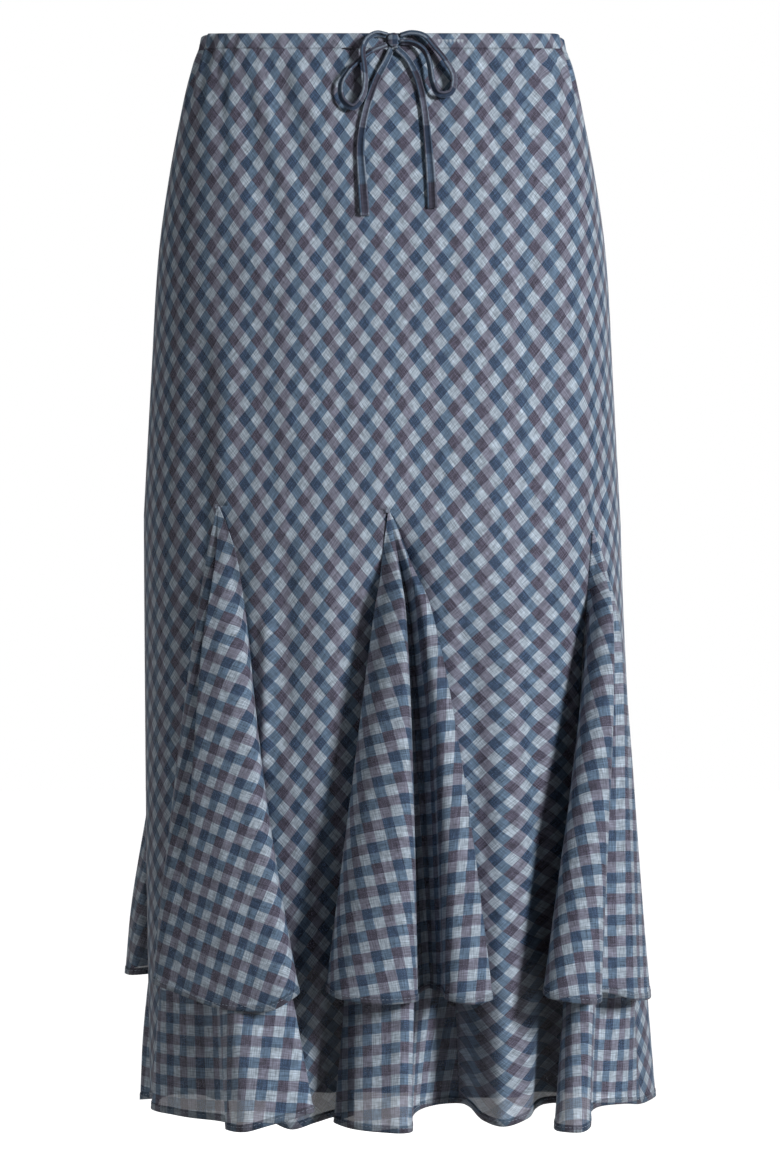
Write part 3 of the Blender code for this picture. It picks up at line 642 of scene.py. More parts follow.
def spread_across(grid, middle, start, stretch):
    """Cloth length across each row of a grid, from a middle column where it is start.

    On the front the print's cells keep nearly one width as seen from the front, a little wider to
    the right, as on the stretched cloth. Round the sides they follow the cloth's own length."""
    rows = []
    for row, pull in zip(grid, stretch):
        view = row[:, 0] * CAMERA_DISTANCE / (CAMERA_DISTANCE + row[:, 1])
        seen = np.abs(np.diff(view))
        arc = np.linalg.norm(np.diff(row, axis=0), axis=1)
        share = (view[:-1] + view[1:]) / 2 / FRONT_HALF_WIDTH
        width = np.interp(share, WIDTH_SHARES, WIDTHS)
        even = smooth_step(np.abs(share), 0.92, 0.66) * (row[:-1, 1] < 0.0)
        steps = (even * seen / width + (1.0 - even) * arc) / pull
        length = np.concatenate([[0.0], np.cumsum(steps)])
        rows.append(length - length[middle] + start)
    return np.array(rows)


def drape(grid, seed):
    """How far the check, in cells, lies off its even lines where the cloth hangs in soft folds."""
    x, z = grid[..., 0], grid[..., 2]
    amount = 0.14 + 0.10 * smooth_step(z, -0.25, -0.03)
    return amount[..., None] * np.stack([ripple(x, z, seed + 5.0), ripple(x, z, seed + 9.0)], axis=-1)


def hem_rows(count, length, first=0.0):
    """Shares of the way down a piece, with the rows of the turned hem at the end."""
    band = np.array([HEM_BAND, HEM_BAND * 0.66, HEM_BAND * 0.33, 0.0]) / length
    return np.concatenate([np.linspace(first, 1.0 - band[0], count, endpoint=False), 1.0 - band])


# ---------------------------------------------------------------- materials
PRINT = {  # linear colours of the printed check
    "light": (0.392, 0.452, 0.520),
    "blue": (0.122, 0.182, 0.262),
    "mauve": (0.198, 0.198, 0.254),
    "navy": (0.046, 0.076, 0.134),
    "brown": (0.090, 0.083, 0.118),
}


class Nodes:
    """A material's node tree, with short calls for adding to it."""

    def __init__(self, name):
        self.material = bpy.data.materials.new(name)
        self.material.use_nodes = True
        self.tree = self.material.node_tree
        self.shader = self.tree.nodes["Principled BSDF"]

    def new(self, kind):
        return self.tree.nodes.new(f"ShaderNode{kind}")

    def put(self, socket, value):
        if isinstance(value, bpy.types.NodeSocket):
            self.tree.links.new(value, socket)
        elif value is not None:
            socket.default_value = value

    def math(self, operation, *values, clamp=False):
        node = self.new("Math")
        node.operation = operation
        node.use_clamp = clamp
        for socket, value in zip(node.inputs, values):
            self.put(socket, value)
        return node.outputs[0]

    def plus(self, a, b):
        return self.math("ADD", a, b)

    def minus(self, a, b):
        return self.math("SUBTRACT", a, b)

    def times(self, a, b):
        return self.math("MULTIPLY", a, b)

    def mix(self, share, a, b, blend="MIX"):
        node = self.new("Mix")
        node.data_type = "RGBA"
        node.blend_type = blend
        self.put(node.inputs["Factor"], share)
        self.put(node.inputs[6], (*a, 1.0) if isinstance(a, tuple) else a)
        self.put(node.inputs[7], (*b, 1.0) if isinstance(b, tuple) else b)
        return node.outputs[2]

    def noise(self, vector, scale, stretch=(1.0, 1.0, 1.0), detail=2.0):
        mapping = self.new("VectorMath")
        mapping.operation = "MULTIPLY"
        self.put(mapping.inputs[0], vector)
        mapping.inputs[1].default_value = stretch
        node = self.new("TexNoise")
        self.put(node.inputs["Vector"], mapping.outputs[0])
        node.inputs["Scale"].default_value = scale
        node.inputs["Detail"].default_value = detail
        return node.outputs["Fac"]

    def set(self, **numbers):
        for name, number in numbers.items():
            self.shader.inputs[name.replace("_", " ")].default_value = number

    def uv(self):
        node = self.new("UVMap")
        node.uv_map = "check"
        return node.outputs[0]

    def bump(self, height, strength, distance):
        node = self.new("Bump")
        self.put(node.inputs["Height"], height)
        node.inputs["Strength"].default_value = strength
        node.inputs["Distance"].default_value = distance
        self.put(self.shader.inputs["Normal"], node.outputs[0])


def spread(nodes, value, low, high):
    """A noise value mapped to a factor about 1, from low to high."""
    return nodes.math("MULTIPLY_ADD", nodes.minus(value, 0.5), (high - low) * 1.6, (low + high) / 2)


def printed(name, alpha=1.0, shade=1.0, yarn=0.55, tint=(1.0, 1.0, 1.0)):
    """The printed check with its slubbed yarns, for a mesh with coordinates in cells."""
    nodes = Nodes(name)
    uv = nodes.uv()
    wobble = nodes.times(nodes.minus(nodes.noise(uv, 0.9), 0.5), 0.14)
    split = nodes.new("SeparateXYZ")
    nodes.put(split.inputs[0], uv)
    u = nodes.plus(split.outputs[0], wobble)
    v = nodes.plus(split.outputs[1], wobble)
    waves = [nodes.math("SINE", nodes.times(way, math.pi)) for way in (u, v)]
    even_u, even_v = (nodes.math("MULTIPLY_ADD", wave, 8.0, 0.5, clamp=True) for wave in waves)
    i, j = nodes.math("FLOOR", u), nodes.math("FLOOR", v)
    total = nodes.math("WRAP", nodes.plus(nodes.plus(i, j), 0.5), 4.0, 0.0)
    difference = nodes.math("WRAP", nodes.plus(nodes.minus(i, j), 0.5), 4.0, 0.0)
    is_blue = nodes.math("COMPARE", total, 1.5, 0.3)
    is_brown = nodes.math("COMPARE", difference, 0.5, 0.3)
    middle = nodes.mix(is_blue, PRINT["mauve"], PRINT["blue"])
    dark = nodes.mix(is_brown, PRINT["navy"], PRINT["brown"])
    both = nodes.times(even_u, even_v)
    neither = nodes.times(nodes.minus(1.0, even_u), nodes.minus(1.0, even_v))
    colour = nodes.mix(neither, middle, dark)
    colour = nodes.mix(both, colour, PRINT["light"])
    warp = nodes.noise(uv, 1.0, (8.5, 0.8, 1.0))
    weft = nodes.noise(uv, 1.0, (0.8, 8.5, 1.0))
    patch = nodes.noise(uv, 0.13, detail=3.0)
    tone = nodes.times(spread(nodes, warp, 1 - yarn, 1 + yarn), spread(nodes, weft, 1 - yarn, 1 + yarn))
    # shade scales the whole print; several materials below use it as painted light (above 1) and painted
    # shade (below 1).
    tone = nodes.times(tone, spread(nodes, patch, shade * 0.94, shade * 1.06))
    grey = nodes.new("CombineColor")
    for socket, share in zip(grey.inputs[:3], tint):
        nodes.put(socket, nodes.times(tone, share))
    nodes.put(nodes.shader.inputs["Base Color"], nodes.mix(1.0, colour, grey.outputs[0], "MULTIPLY"))
    nodes.set(Roughness=0.82, Specular_IOR_Level=0.25, Sheen_Weight=0.12, Sheen_Roughness=0.4, Alpha=alpha)
    nodes.bump(nodes.plus(warp, weft), 0.35, 0.25 * MM)
    return nodes.material


def plain_cloth(name, colour, other, scale, roughness=0.8):
    """Plain woven cloth of two close colours."""
    nodes = Nodes(name)
    coordinates = nodes.new("TexCoord").outputs["Object"]
    warp = nodes.noise(coordinates, scale, (1.0, 1.0, 0.06))
    weft = nodes.noise(coordinates, scale, (0.06, 0.06, 1.0))
    weave = nodes.times(nodes.plus(warp, weft), 0.5)
    share = nodes.math("MULTIPLY_ADD", nodes.minus(weave, 0.5), 3.0, 0.5, clamp=True)
    nodes.put(nodes.shader.inputs["Base Color"], nodes.mix(share, colour, other))
    nodes.set(Roughness=roughness, Specular_IOR_Level=0.3, Sheen_Weight=0.1)
    nodes.bump(weave, 0.4, 0.2 * MM)
    return nodes.material


BODY_PRINT = printed("body_print", alpha=0.74)
# The godets' upper tiers get the print drawn 4% lighter: painted light on their lobes.
GODET_PRINT_PAINTED_LIGHT = printed("godet_print_painted_light", alpha=0.70, shade=1.04)
# The lower tiers get the print drawn 12% lighter: painted light that brightens their lobes.
LOWER_PRINT_PAINTED_LIGHT = printed("lower_print_painted_light", alpha=0.74, shade=1.12)
# The turned hems get the print drawn much darker (shade 0.62): painted shade of the doubled hems.
HEM_PRINT_PAINTED_SHADE = printed("hem_print_painted_shade", alpha=0.85, shade=0.62)
CASING_PRINT = printed("casing_print", shade=0.8)
# The tie's print is drawn much darker and bluer: painted shade of the folded tube of the same check.
TIE_PRINT_PAINTED_LIGHT_AND_SHADE = printed("tie_print_painted_light_and_shade", shade=0.41, yarn=0.5, tint=(0.94, 0.97, 1.06))
# The lining's own dark cloth; the same material also draws the slit's painted shade on the casing.
LINING_CLOTH_AND_SLIT_SHADE = plain_cloth("lining_weave_and_slit_shade", (0.010, 0.011, 0.018), (0.018, 0.018, 0.026), 900.0)
# A warm brown on the lining's hem band, for a brown tone just below the lining's hem; what causes that tone
# is not known, and it is not known to be the lining's own colour.
LINING_EDGE = plain_cloth("lining_hem", (0.120, 0.075, 0.052), (0.190, 0.120, 0.085), 900.0)
PATCH = plain_cloth("patch_thread", (0.36, 0.41, 0.47), (0.52, 0.56, 0.60), 1800.0)
THREAD = plain_cloth("thread", (0.20, 0.23, 0.30), (0.32, 0.36, 0.44), 2500.0, 0.6)


# ---------------------------------------------------------------- body panels
RELAX = {"left": 0.45, "centre": 1.0}  # how far the bias cloth of a tongue spreads, for its hem


def side_shares():
    left, right = GODETS[-1], GODETS[2]
    left_share = (1.0 - SIDE_SEAM - left.place) / (tongue_places(left, 1.0) - left.place)
    right_share = (SIDE_SEAM - right.place) / (tongue_places(right, 1.0) - right.place)
    return float(left_share), float(right_share)


def slit_window(places, z):
    """0 beside the slits and 1 away from them, from a little above the apexes down."""
    slits = np.array([godet.place for godet in GODETS])
    away = np.abs(np.mod(places[:, None] - slits[None, :] + 0.5, 1.0) - 0.5).min(axis=1)
    window = smooth_step(away, 0.001, 0.012)
    return lerp(1.0, window, smooth_step(-z, -SLIT_FROM_Z, -APEX_Z))


def body_relief(grid, places, creases, seed):
    relief = np.zeros(grid.shape[:2])
    for row, z in enumerate(grid[:, :, 2].mean(axis=1)):
        x = grid[row, :, 0]
        level = crease_relief(x, grid[row, :, 2], creases)
        level += BODY_RIPPLE * ripple(x, grid[row, :, 2], seed) * smooth_step(-z, 0.02, 0.2)
        relief[row] = level * slit_window(places, z) + gathers(places, z)
    return relief


def body_panel(name, node, stretches, creases, middle_place, seed):
    """stretches: (godet before the tongue, first share, last share)."""
    spans = []
    for godet, first, last in stretches:
        width = abs(tongue_places(godet, last) - tongue_places(godet, first)) * 1.05
        spans.append(np.linspace(first, last, max(8, int(width / CLOTH_STEP * 1.15)) + 1))
    places = [tongue_places(godet, shares) for (godet, _, _), shares in zip(stretches, spans)]
    row_places = np.concatenate([places[0]] + [part[1:] for part in places[1:]])
    levels = np.concatenate([
        np.linspace(-CASING_HEIGHT / 2, WAIST_ROWS_END_Z, WAIST_ROWS, endpoint=False),
        np.linspace(WAIST_ROWS_END_Z, APEX_Z, BODY_ROWS),
    ])
    whole = []
    for z in levels:
        whole.append(with_height(oval_points(BODY_LEVELS, z, row_places)[0], z + lifted(row_places, z)))
    whole = np.array(whole)
    centre = np.mod(row_places - middle_place + 0.5, 1.0) - 0.5
    across = spread_across(whole, int(np.argmin(np.abs(centre))), 0.0, np.ones(len(levels)))
    check = bias_cells(across, (BIAS_ORIGIN[1] - levels)[:, None]) + drape(whole, seed)
    grids = [(raised(moved_out(whole, body_relief(whole, row_places, creases, seed))), check)]
    hems = []
    downs = hem_rows(TONGUE_ROWS, APEX_Z - HEM_Z)
    first_column = 0
    for (godet, _, _), shares, part in zip(stretches, spans, places):
        grid = np.array([tongue_points(godet, shares, down) for down in downs])
        half = int(np.argmin(np.abs(shares - 0.5)))
        relax = RELAX.get(godet.name, 0.5)
        pull = 1.0 + relax * np.interp(downs, (0.0, 0.2, 0.9), (0.0, 0.10, 0.18))
        squash = 1.0 - relax * np.interp(downs, (0.0, 0.2, 0.9), (0.0, 0.11, 0.19))
        tongue_across = spread_across(grid, half, across[-1, first_column + half], pull)
        first_column += len(shares) - 1
        fall = np.linalg.norm(np.diff(grid[:, half], axis=0), axis=1) / squash[1:]
        down_cloth = np.concatenate([[0.0], np.cumsum(fall)]) - APEX_Z + BIAS_ORIGIN[1]
        check = bias_cells(tongue_across, down_cloth[:, None]) + drape(grid, seed)
        out = moved_out(grid, body_relief(grid, part, creases, seed))
        edges = np.abs(2.0 * shares - 1.0) > 0.999
        out[:, edges] = grid[:, edges]
        grids.append((out, check))
        hems.append((out[-HEM_ROWS:], check[-HEM_ROWS:]))
    obj = new_piece(name, grid_mesh(name, grids), node, materials=[BODY_PRINT])
    thicken(obj, SHELL)
    band = hem_piece(f"{name}_hem", hems, HEM_PRINT_PAINTED_SHADE)
    return [hem for hem, _ in hems]


# ---------------------------------------------------------------- godets
def godet_piece(godet, tier):
    """One tier of a godet, which is cut as a triangle: half of the hem's length by the slant."""
    upper = tier == "upper"
    line = UPPER_HEM[godet.name] if upper else HEM["godet", godet.name]
    columns = int(line.length / CLOTH_STEP * 1.25)
    shares = np.linspace(0.0, 1.0, columns + 1)
    length = APEX_Z - (UPPER_HEM_Z if upper else HEM_Z)
    downs = hem_rows(TIER_ROWS[tier], length, 0.002)
    points = upper_points if upper else lower_points
    grid = np.array([points(godet, shares, down) for down in downs])
    relief = np.zeros(grid.shape[:2])
    for pleat in (UPPER_PLEATS if upper else LOWER_PLEATS)[godet.name]:
        beside = shares - pleat.share
        profile = np.exp(-((beside / np.where(beside < 0.0, pleat.left, pleat.right)) ** 2))
        growth = smooth_step(downs, pleat.start, pleat.start + pleat.grows)
        growth = growth * smooth_step(downs, pleat.ends, pleat.ends - 0.4)
        relief += pleat.depth * MM * profile[None, :] * growth[:, None]
    seed = GODETS.index(godet) + (0.5 if upper else 0.0)
    wave = ripple(shares[None, :] * line.length, grid[..., 2], seed)
    relief += GODET_RIPPLE * wave * smooth_step(downs, 0.1, 0.6)[:, None]
    window = smooth_step(0.5 - np.abs(shares - 0.5), 0.0, 0.05)
    grid = moved_out(grid, relief * window[None, :])
    if upper:
        seams = np.array([seam_points(godet, down * UPPER_SHARE) for down in downs])
        seams[:, :, 2] = grid[:, [0, -1], 2]
        grid = np.concatenate([seams[:, :1], grid, seams[:, 1:]], axis=1)
    steps = np.linalg.norm(np.diff(grid, axis=0), axis=2)
    radius = np.concatenate([np.zeros((1, grid.shape[1])), np.cumsum(steps, axis=0)])
    radius += length * downs[0]
    turn = math.radians(godet.grain_upper if upper else godet.grain_lower)
    wide = np.linspace(-0.5, 0.5, grid.shape[1]) * line.length / float(radius[-1].mean())
    across = radius * np.sin(wide + turn)[None, :] / CELL[0]
    level = godet.level if upper else 0.5
    along = radius * lerp(np.cos(wide + turn), 1.0, level)[None, :] / CELL[1]
    check = np.stack([across, along], axis=-1)
    name = f"godet_{godet.name}_{tier}"
    obj = new_piece(f"{name}_cloth", grid_mesh(name, [(grid, check)]), name,
                    [GODET_PRINT_PAINTED_LIGHT if upper else LOWER_PRINT_PAINTED_LIGHT])
    thicken(obj, SHELL)
    band = hem_piece(f"{name}_hem", [(grid[-HEM_ROWS:], check[-HEM_ROWS:])], HEM_PRINT_PAINTED_SHADE)
    return grid[-HEM_ROWS:]


# ---------------------------------------------------------------- lining and casing
def lining_piece():
    levels = np.concatenate([
        np.linspace(-CASING_HEIGHT / 2, APEX_Z, LINING_ROWS),
        np.linspace(APEX_Z, LINING_HEM_Z, LINING_LOW_ROWS)[1:],
    ])
    rows = []
    for z in levels:
        row = []
        for godet in GODETS:
            shares = np.linspace(0.0, 1.0, LINING_COLUMNS, endpoint=False)
            places = tongue_places(godet, shares)
            if z >= APEX_Z:
                inset = lerp(LINING_INSET, LINING_CLEAR, float(smooth_step(-z, CASING_HEIGHT / 2, 0.040)))
                inset = lerp(inset, LINING_SLACK, float(smooth_step(-z, -SLACK_FROM_Z, -APEX_Z)))
                row.append(oval_points(BODY_LEVELS, z, places, np.full(LINING_COLUMNS, inset))[0])
                continue
            down = (APEX_Z - z) / (APEX_Z - LINING_HEM_Z)
            swell = LINING_WAVE * down * (0.5 - 0.5 * np.cos(2 * np.pi * shares))
            row.append(oval_points(LINING_LEVELS, z, places, -swell)[0])
        row = np.concatenate(row + [row[0][:1]])
        rows.append(with_height(row, z))
    grid = raised(np.array(rows))
    angle = np.linspace(0.0, 2 * np.pi, grid.shape[1])
    wave = np.sin(9 * angle + 3.0 * grid[..., 2]) + 0.6 * np.sin(17 * angle - 4.0 * grid[..., 2])
    grid = moved_out(grid, LINING_RIPPLE * wave * smooth_step(-grid[..., 2], 0.3, 0.6))
    grid[:, -1] = grid[:, 0]
    check = np.zeros(grid.shape[:2] + (2,))
    mesh = grid_mesh("lining", [(grid, check)])
    obj = new_piece("lining_tube", mesh, "lining", [LINING_CLOTH_AND_SLIT_SHADE])
    thicken(obj, SHELL)
    band = hem_piece("lining_hem", [(grid[-HEM_ROWS:], check[-HEM_ROWS:])], LINING_EDGE)


def casing_piece():
    """The casing: a flat band all round, drawn up in small uneven pleats."""
    half = CASING_HEIGHT / 2
    places = np.arange(CASING_COLUMNS + 1) / CASING_COLUMNS
    profile = (  # how far out, and the height
        (CASING_OUTSIDE - 0.35 * MM, -half), (CASING_OUTSIDE, -half + 1.6 * MM),
        (CASING_OUTSIDE + 0.4 * MM, -half + 4.0 * MM), (CASING_OUTSIDE + 0.4 * MM, half - 3.6 * MM),
        (CASING_OUTSIDE - 0.1 * MM, half - 1.0 * MM), (CASING_OUTSIDE - 1.1 * MM, half - 0.1 * MM),
        (1.2 * MM - CASING_INSIDE, half - 0.1 * MM), (-CASING_INSIDE, half - 1.4 * MM),
        (-CASING_INSIDE, 0.0), (-CASING_INSIDE + 0.4 * MM, -half),
        (CASING_OUTSIDE - 0.35 * MM, -half),
    )
    grid, cells = [], []
    ripples = gathers(places, -CASING_HEIGHT / 2)
    length = 0.0
    for order, (out, z) in enumerate(profile):
        if order:
            length += math.dist(profile[order - 1], (out, z))
        strength = 0.75 if z > -half + 1 * MM else 1.0
        plan, total = oval_points(BODY_LEVELS, min(z, 0.0), places, -(out + strength * ripples))
        grid.append(with_height(plan, z + waist_rise(plan[:, 1])))
        centre = (np.mod(places + 0.5, 1.0) - 0.5) * total
        cells.append(bias_cells(centre, -length + half + BIAS_ORIGIN[1]))
    grid, cells = np.array(grid), np.array(cells)
    grid[:, -1] = grid[:, 0]
    cells[:, -1] = cells[:, -2]
    mesh = grid_mesh("waist_band", [(grid, cells)])
    obj = new_piece("waist_band", mesh, "waist_casing", materials=[CASING_PRINT])


# ---------------------------------------------------------------- tie
def front_surface(x, z):
    half_width, half_depth, squareness = level_at(BODY_LEVELS, z)
    share = min(abs(x) / half_width, 1.0)
    depth = half_depth * (1.0 - share**squareness) ** (1.0 / squareness)
    over_casing = float(smooth_step(z, -CASING_HEIGHT, -CASING_HEIGHT / 2))
    return -depth - lerp(CLOTH_WALL / 2, CASING_OUTSIDE + GATHER_DEPTH, over_casing)


def tie_path(route):
    places = []
    for x, z, lift in np.array(route) * MM:
        places.append(np.array([x, front_surface(x, z) - lift - TIE_RADIUS, z]))
    places = [places[0] * 2 - places[1], *places, places[-1] * 2 - places[-2]]
    fine = curve_through(places)
    lengths = lengths_along(fine)
    where = np.linspace(0.0, lengths[-1], max(24, int(lengths[-1] / TAPE_STEP)))
    return read_along(where, lengths, fine), float(lengths[-1])


def tie_tape(name, width, thick, twists, far_end):
    """A flat tube of cloth along a route. twists: (share along, degrees from facing the front)."""
    path, length = tie_path(TIE_ROUTES[name])
    along = np.gradient(path, axis=0)
    along /= np.linalg.norm(along, axis=1, keepdims=True)
    shares = np.linspace(0.0, 1.0, len(path))
    turn = np.radians(np.interp(shares, [s for s, _ in twists], [t for _, t in twists]))
    front = np.array([0.0, -1.0, 0.0])
    side = np.cross(along, front)
    side /= np.linalg.norm(side, axis=1, keepdims=True)
    up = np.cross(side, along)
    wide = side * np.cos(turn)[:, None] + up * np.sin(turn)[:, None]
    flat = np.cross(wide, along)
    angle = np.linspace(0.0, 2 * np.pi, TAPE_AROUND + 1)
    a = np.sign(np.cos(angle)) * np.abs(np.cos(angle)) ** 0.7 * width / 2
    pinch = 1.2 - 1.1 * np.exp(-((np.cos(angle) / 0.45) ** 2))
    b = np.sign(np.sin(angle)) * np.abs(np.sin(angle)) ** 0.8 * thick / 2 * pinch
    flare = 1.0 + (0.4 if far_end == "bare" else 0.0) * smooth_step(shares, 0.4, 1.0)
    grid = path[:, None, :] + wide[:, None, :] * a[None, :, None] * flare[:, None, None]
    grid = grid + flat[:, None, :] * b[None, :, None]
    # Narrow cells across and long ones along draw the print as lengthwise stripes: painted highlights and
    # shade of the folded tape over its print.
    across = np.linspace(0.0, 2 * width, TAPE_AROUND + 1) / TAPE_CELL[0]
    along_cells = (shares * length)[:, None] / TAPE_CELL[1]
    check = np.stack(np.broadcast_arrays(across[None, :], along_cells), axis=-1)
    mesh = grid_mesh(name, [(grid, check)])
    bm = bmesh.new()
    bm.from_mesh(mesh)
    bmesh.ops.holes_fill(bm, edges=[edge for edge in bm.edges if edge.is_boundary], sides=0)
    bm.to_mesh(mesh)
    bm.free()
    obj = new_piece(f"{name}_tape", mesh, name, [TIE_PRINT_PAINTED_LIGHT_AND_SHADE])


def knot_piece():
    """The knot: one turn of the tape round the others, with soft creases."""
    low, high = (Vector(corner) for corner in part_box("tie_knot"))
    middle, half = (low + high) / 2, (high - low) / 2
    rings, around = 36, 40
    check_across, check_along = 1.1, 1.4
    v = np.linspace(-np.pi / 2, np.pi / 2, rings)[:, None]
    u = np.linspace(0.0, 2 * np.pi, around + 1)[None, :]
    crease = 1.0
    for depth, middle_line, width in (
        (0.10, 0.35 * np.sin(u), 0.16),
        (0.08, 0.3 * np.cos(u) - 0.7, 0.14),
        (0.07, 0.8 - 0.2 * np.sin(u + 1), 0.13),
    ):
        crease = crease - depth * np.exp(-(((v - middle_line) / width) ** 2))
    ring = np.cos(v) ** 0.8
    x = middle.x + half.x * ring * np.cos(u) * crease
    y = middle.y + half.y * ring * np.sin(u) * crease
    z = middle.z + half.z * np.sin(v) * np.ones_like(u) * (0.96 + 0.04 * crease)
    grid = np.stack([x, y, z], axis=-1)
    grid[:, -1] = grid[:, 0]
    check = np.stack(np.broadcast_arrays(u * check_across, v * check_along), axis=-1)
    new_piece("tie_knot_wrap", grid_mesh("tie_knot", [(grid, check)]), "tie_knot", [TIE_PRINT_PAINTED_LIGHT_AND_SHADE])


# ---------------------------------------------------------------- stitching
def stitch_piece(name, runs, material):
    """Small rounded dashes. runs: (points of the line, out vectors, stitch, gap, radius)."""
    verts, faces = [], []
    for line, out, stitch, gap, radius in runs:
        lengths = lengths_along(line)
        starts = np.arange(0.0, lengths[-1] - stitch, stitch + gap)
        for start in starts:
            ends = [start, start + stitch * 0.5, start + stitch]
            spine, away = read_along(ends, lengths, line), read_along(ends, lengths, out)
            along = spine[2] - spine[0]
            along /= np.linalg.norm(along)
            side = np.cross(along, away[1])
            side /= np.linalg.norm(side)
            first = len(verts)
            for point, lift, size in zip(spine, away, (0.45, 1.0, 0.45)):
                for a, b in ((1, 0), (0, 1), (-1, 0), (0, -1)):
                    verts.append(point + side * a * radius * size + lift * b * radius * size)
            for ring in (first, first + 4):
                for k in range(4):
                    m = (k + 1) % 4
                    faces.append((ring + k, ring + 4 + k, ring + 4 + m, ring + m))
            faces.append((first + 3, first + 2, first + 1, first))
            faces.append((first + 8, first + 9, first + 10, first + 11))
    mesh = bpy.data.meshes.new(name)
    mesh.from_pydata([tuple(vert) for vert in verts], [], faces)
    mesh.shade_smooth()
    new_piece(name, mesh, materials=[material])


def round_run(z, places, inset, height, stitch, gap, radius, rise=True):
    """A run of stitches round the body. inset: how far in from the oval at height z."""
    plan, _ = oval_points(BODY_LEVELS, z, places, inset)
    line = with_height(plan, (waist_rise(plan[:, 1]) if rise else 0.0) + height)
    return line, with_height(outward_of(line[None])[0], 0.0), stitch, gap, radius


def hem_run(band):
    """A row of topstitching along the top of a turned hem, on its outer side."""
    out = with_height(outward_of(band)[1], 0.0)
    return band[1] + out * (HEM_WALL / 2 + 0.05 * MM), out, 2.4 * MM, 1.0 * MM, 0.22 * MM


def stitching(bands):
    runs = [hem_run(band) for band in bands]
    low = -CASING_HEIGHT / 2
    places = np.linspace(0.0, 1.0, CASING_COLUMNS + 1)
    inset = -(CASING_OUTSIDE + gathers(places, low) + 0.1 * MM)
    runs.append(round_run(0.0, places, inset, 1.0 * MM + low, 2.2 * MM, 1.0 * MM, 0.24 * MM))
    places = np.linspace(*PATCH_PLACES, 30)
    inset = -(CASING_OUTSIDE + 0.55 * MM + 0.75 * gathers(places, low))
    patch = [round_run(0.0, places, inset, height * MM, 2.8 * MM, 0.2 * MM, 0.4 * MM)
             for height in np.arange(-2.4, 1.2, 0.6)]  # sewn to the casing beside the bow
    stitch_piece("casing_patch", patch, PATCH)
    for godet in GODETS:  # three tacks over each apex
        places = godet.place + np.array([-0.002, 0.0, 0.002])
        for drop in (-0.6, 0.5, 1.6):
            height = APEX_Z + (godet.lift * 0.97 - drop) * MM
            sizes = 3.2 * MM, 1.0 * MM, 0.5 * MM
            runs.append(round_run(APEX_Z, places, np.full(3, -1.9 * MM), height, *sizes, False))
    stitch_piece("topstitching", runs, THREAD)
    # The slit is a dark dash of the lining's cloth laid on the casing: painted shade of the opening through
    # which the tie leaves.
    places, inset = np.linspace(*SLIT_PLACES, 5), np.full(5, -CASING_OUTSIDE - 1.5 * MM)
    slit = round_run(0.0, places, inset, low - 0.3 * MM, 9.0 * MM, 1.0, 1.0 * MM, False)
    stitch_piece("casing_slit_shade", [slit], LINING_CLOTH_AND_SLIT_SHADE)


TIE_WIDTH = 5.6 * MM
TIES = (  # thickness, twists and far end
    ("tie_end_left", 3.2 * MM, ((0, 50), (0.15, 20), (0.6, -8), (1, 14)), "bare"),
    ("tie_end_right", 3.2 * MM, ((0, 40), (0.2, 25), (0.6, 6), (1, -12)), "bare"),
    ("tie_loop_left", 2.8 * MM, ((0, 60), (0.3, 62), (0.55, 40), (0.8, 60), (1, 60)), "object"),
    ("tie_loop_right", 2.8 * MM, ((0, 60), (0.3, 58), (0.55, 40), (0.8, 60), (1, 60)), "object"),
)


def build():
    left, centre, right, back_right, back, back_left = GODETS
    left_seam, right_seam = side_shares()
    front = ((back_left, left_seam, 1.0), (left, 0.0, 1.0), (centre, 0.0, 1.0), (right, 0.0, right_seam))
    rear = ((right, right_seam, 1.0), (back_right, 0.0, 1.0), (back, 0.0, 1.0), (back_left, 0.0, left_seam))
    casing_piece()
    bands = body_panel("front_cloth", "front_panel", front, FRONT_CREASES, 0.0, 1.0)
    bands += body_panel("back_cloth", "back_panel", rear, BACK_CREASES, 0.5, 2.0)
    lining_piece()
    for godet in GODETS:
        for tier in ("upper", "lower"):
            bands.append(godet_piece(godet, tier))
    stitching(bands)
    knot_piece()
    for name, thick, twists, far_end in TIES:
        tie_tape(name, TIE_WIDTH, thick, twists, far_end)


build()


# ---------------------------------------------------------------- stage, light and camera
def camera():
    """Level with the middle of the skirt, in front of it."""
    data = bpy.data.cameras.new("camera")
    data.sensor_fit = "VERTICAL"
    data.sensor_height = SENSOR
    data.lens = SENSOR * CAMERA_DISTANCE / FRAME_HEIGHT
    data.clip_end = 60.0
    obj = new_object("camera", data)
    obj.location = (0.0064, -CAMERA_DISTANCE, -0.4222)
    obj.rotation_euler = (math.radians(90.0), 0.0, 0.0)
    bpy.context.scene.camera = obj


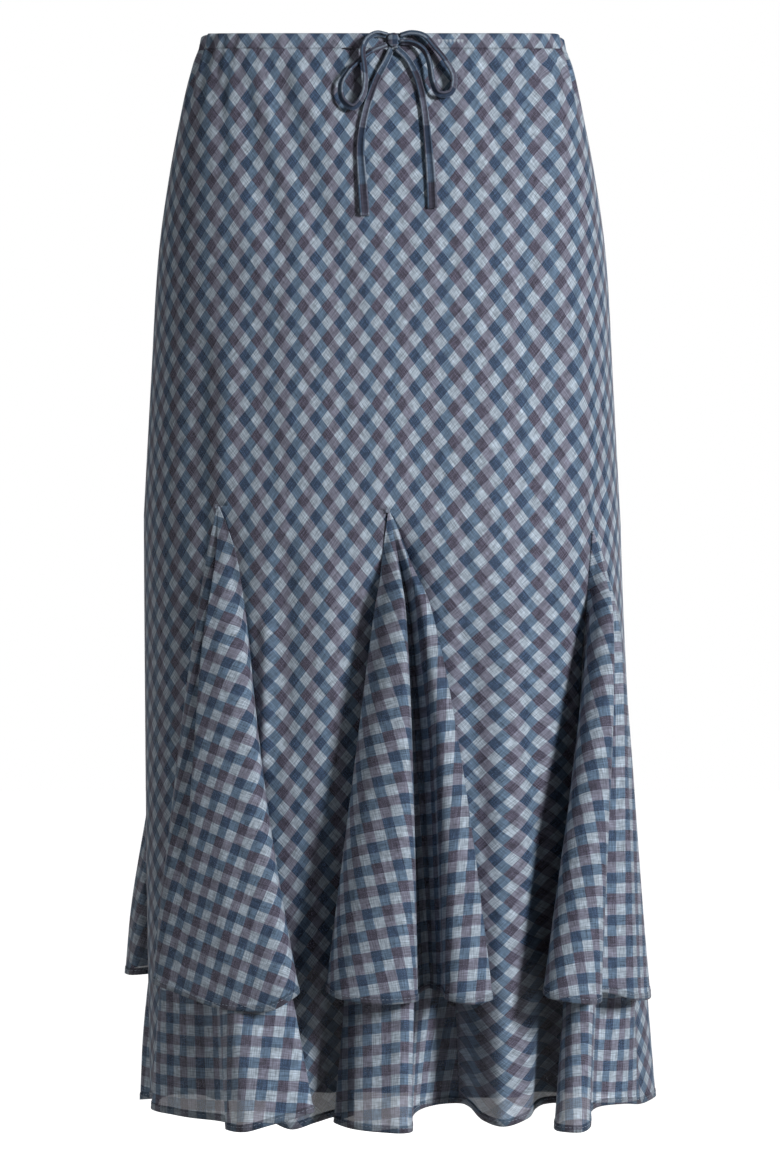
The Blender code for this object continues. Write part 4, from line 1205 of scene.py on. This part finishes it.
def area_light(name, place, aim, size, power, colour):
    data = bpy.data.lights.new(name, "AREA")
    data.shape = "RECTANGLE"
    data.size, data.size_y = size
    data.energy = power
    data.color = colour
    obj = new_object(name, data)
    obj.location = place
    obj.rotation_euler = (Vector(aim) - Vector(place)).to_track_quat("-Z", "Y").to_euler()


def stage():
    mesh = bpy.data.meshes.new("floor")
    turns = [2 * math.pi * k / FLOOR_SIDES for k in range(FLOOR_SIDES)]
    ring = [(FLOOR_RADIUS * math.cos(turn), FLOOR_RADIUS * math.sin(turn), FLOOR_Z) for turn in turns]
    mesh.from_pydata(ring, [], [tuple(range(FLOOR_SIDES))])
    floor = new_object("floor", mesh)
    material = bpy.data.materials.new("pale_floor")
    material.use_nodes = True
    shader = material.node_tree.nodes["Principled BSDF"]
    shader.inputs["Base Color"].default_value = (0.85, 0.85, 0.85, 1.0)
    shader.inputs["Roughness"].default_value = 0.9
    shader.inputs["Emission Color"].default_value = (1.0, 1.0, 1.0, 1.0)
    shader.inputs["Emission Strength"].default_value = 1.0
    mesh.materials.append(material)
    floor.visible_diffuse = False  # it looks white and lights nothing
    world = bpy.data.worlds.new("studio")
    bpy.context.scene.world = world
    world.use_nodes = True
    tree = world.node_tree
    background = tree.nodes["Background"]
    background.inputs["Color"].default_value = (1.0, 1.0, 1.0, 1.0)
    seen = tree.nodes.new("ShaderNodeLightPath")
    strength = tree.nodes.new("ShaderNodeMapRange")
    tree.links.new(seen.outputs["Is Camera Ray"], strength.inputs["Value"])
    strength.inputs["To Min"].default_value = 0.10
    strength.inputs["To Max"].default_value = 1.0
    tree.links.new(strength.outputs[0], background.inputs["Strength"])


camera()
stage()
area_light("key", (2.0, -2.3, 0.45), (0.0, 0.0, -0.4), (0.5, 0.8), 110.0, (0.96, 0.98, 1.0))
area_light("fill", (-2.9, -1.2, 0.2), (0.0, 0.0, -0.4), (1.2, 1.6), 18.0, (0.95, 0.98, 1.0))
area_light("back", (0.9, 3.0, 0.3), (0.0, 0.0, -0.4), (2.4, 1.8), 60.0, (0.97, 0.98, 1.0))
bpy.context.scene.view_settings.view_transform = "Standard"
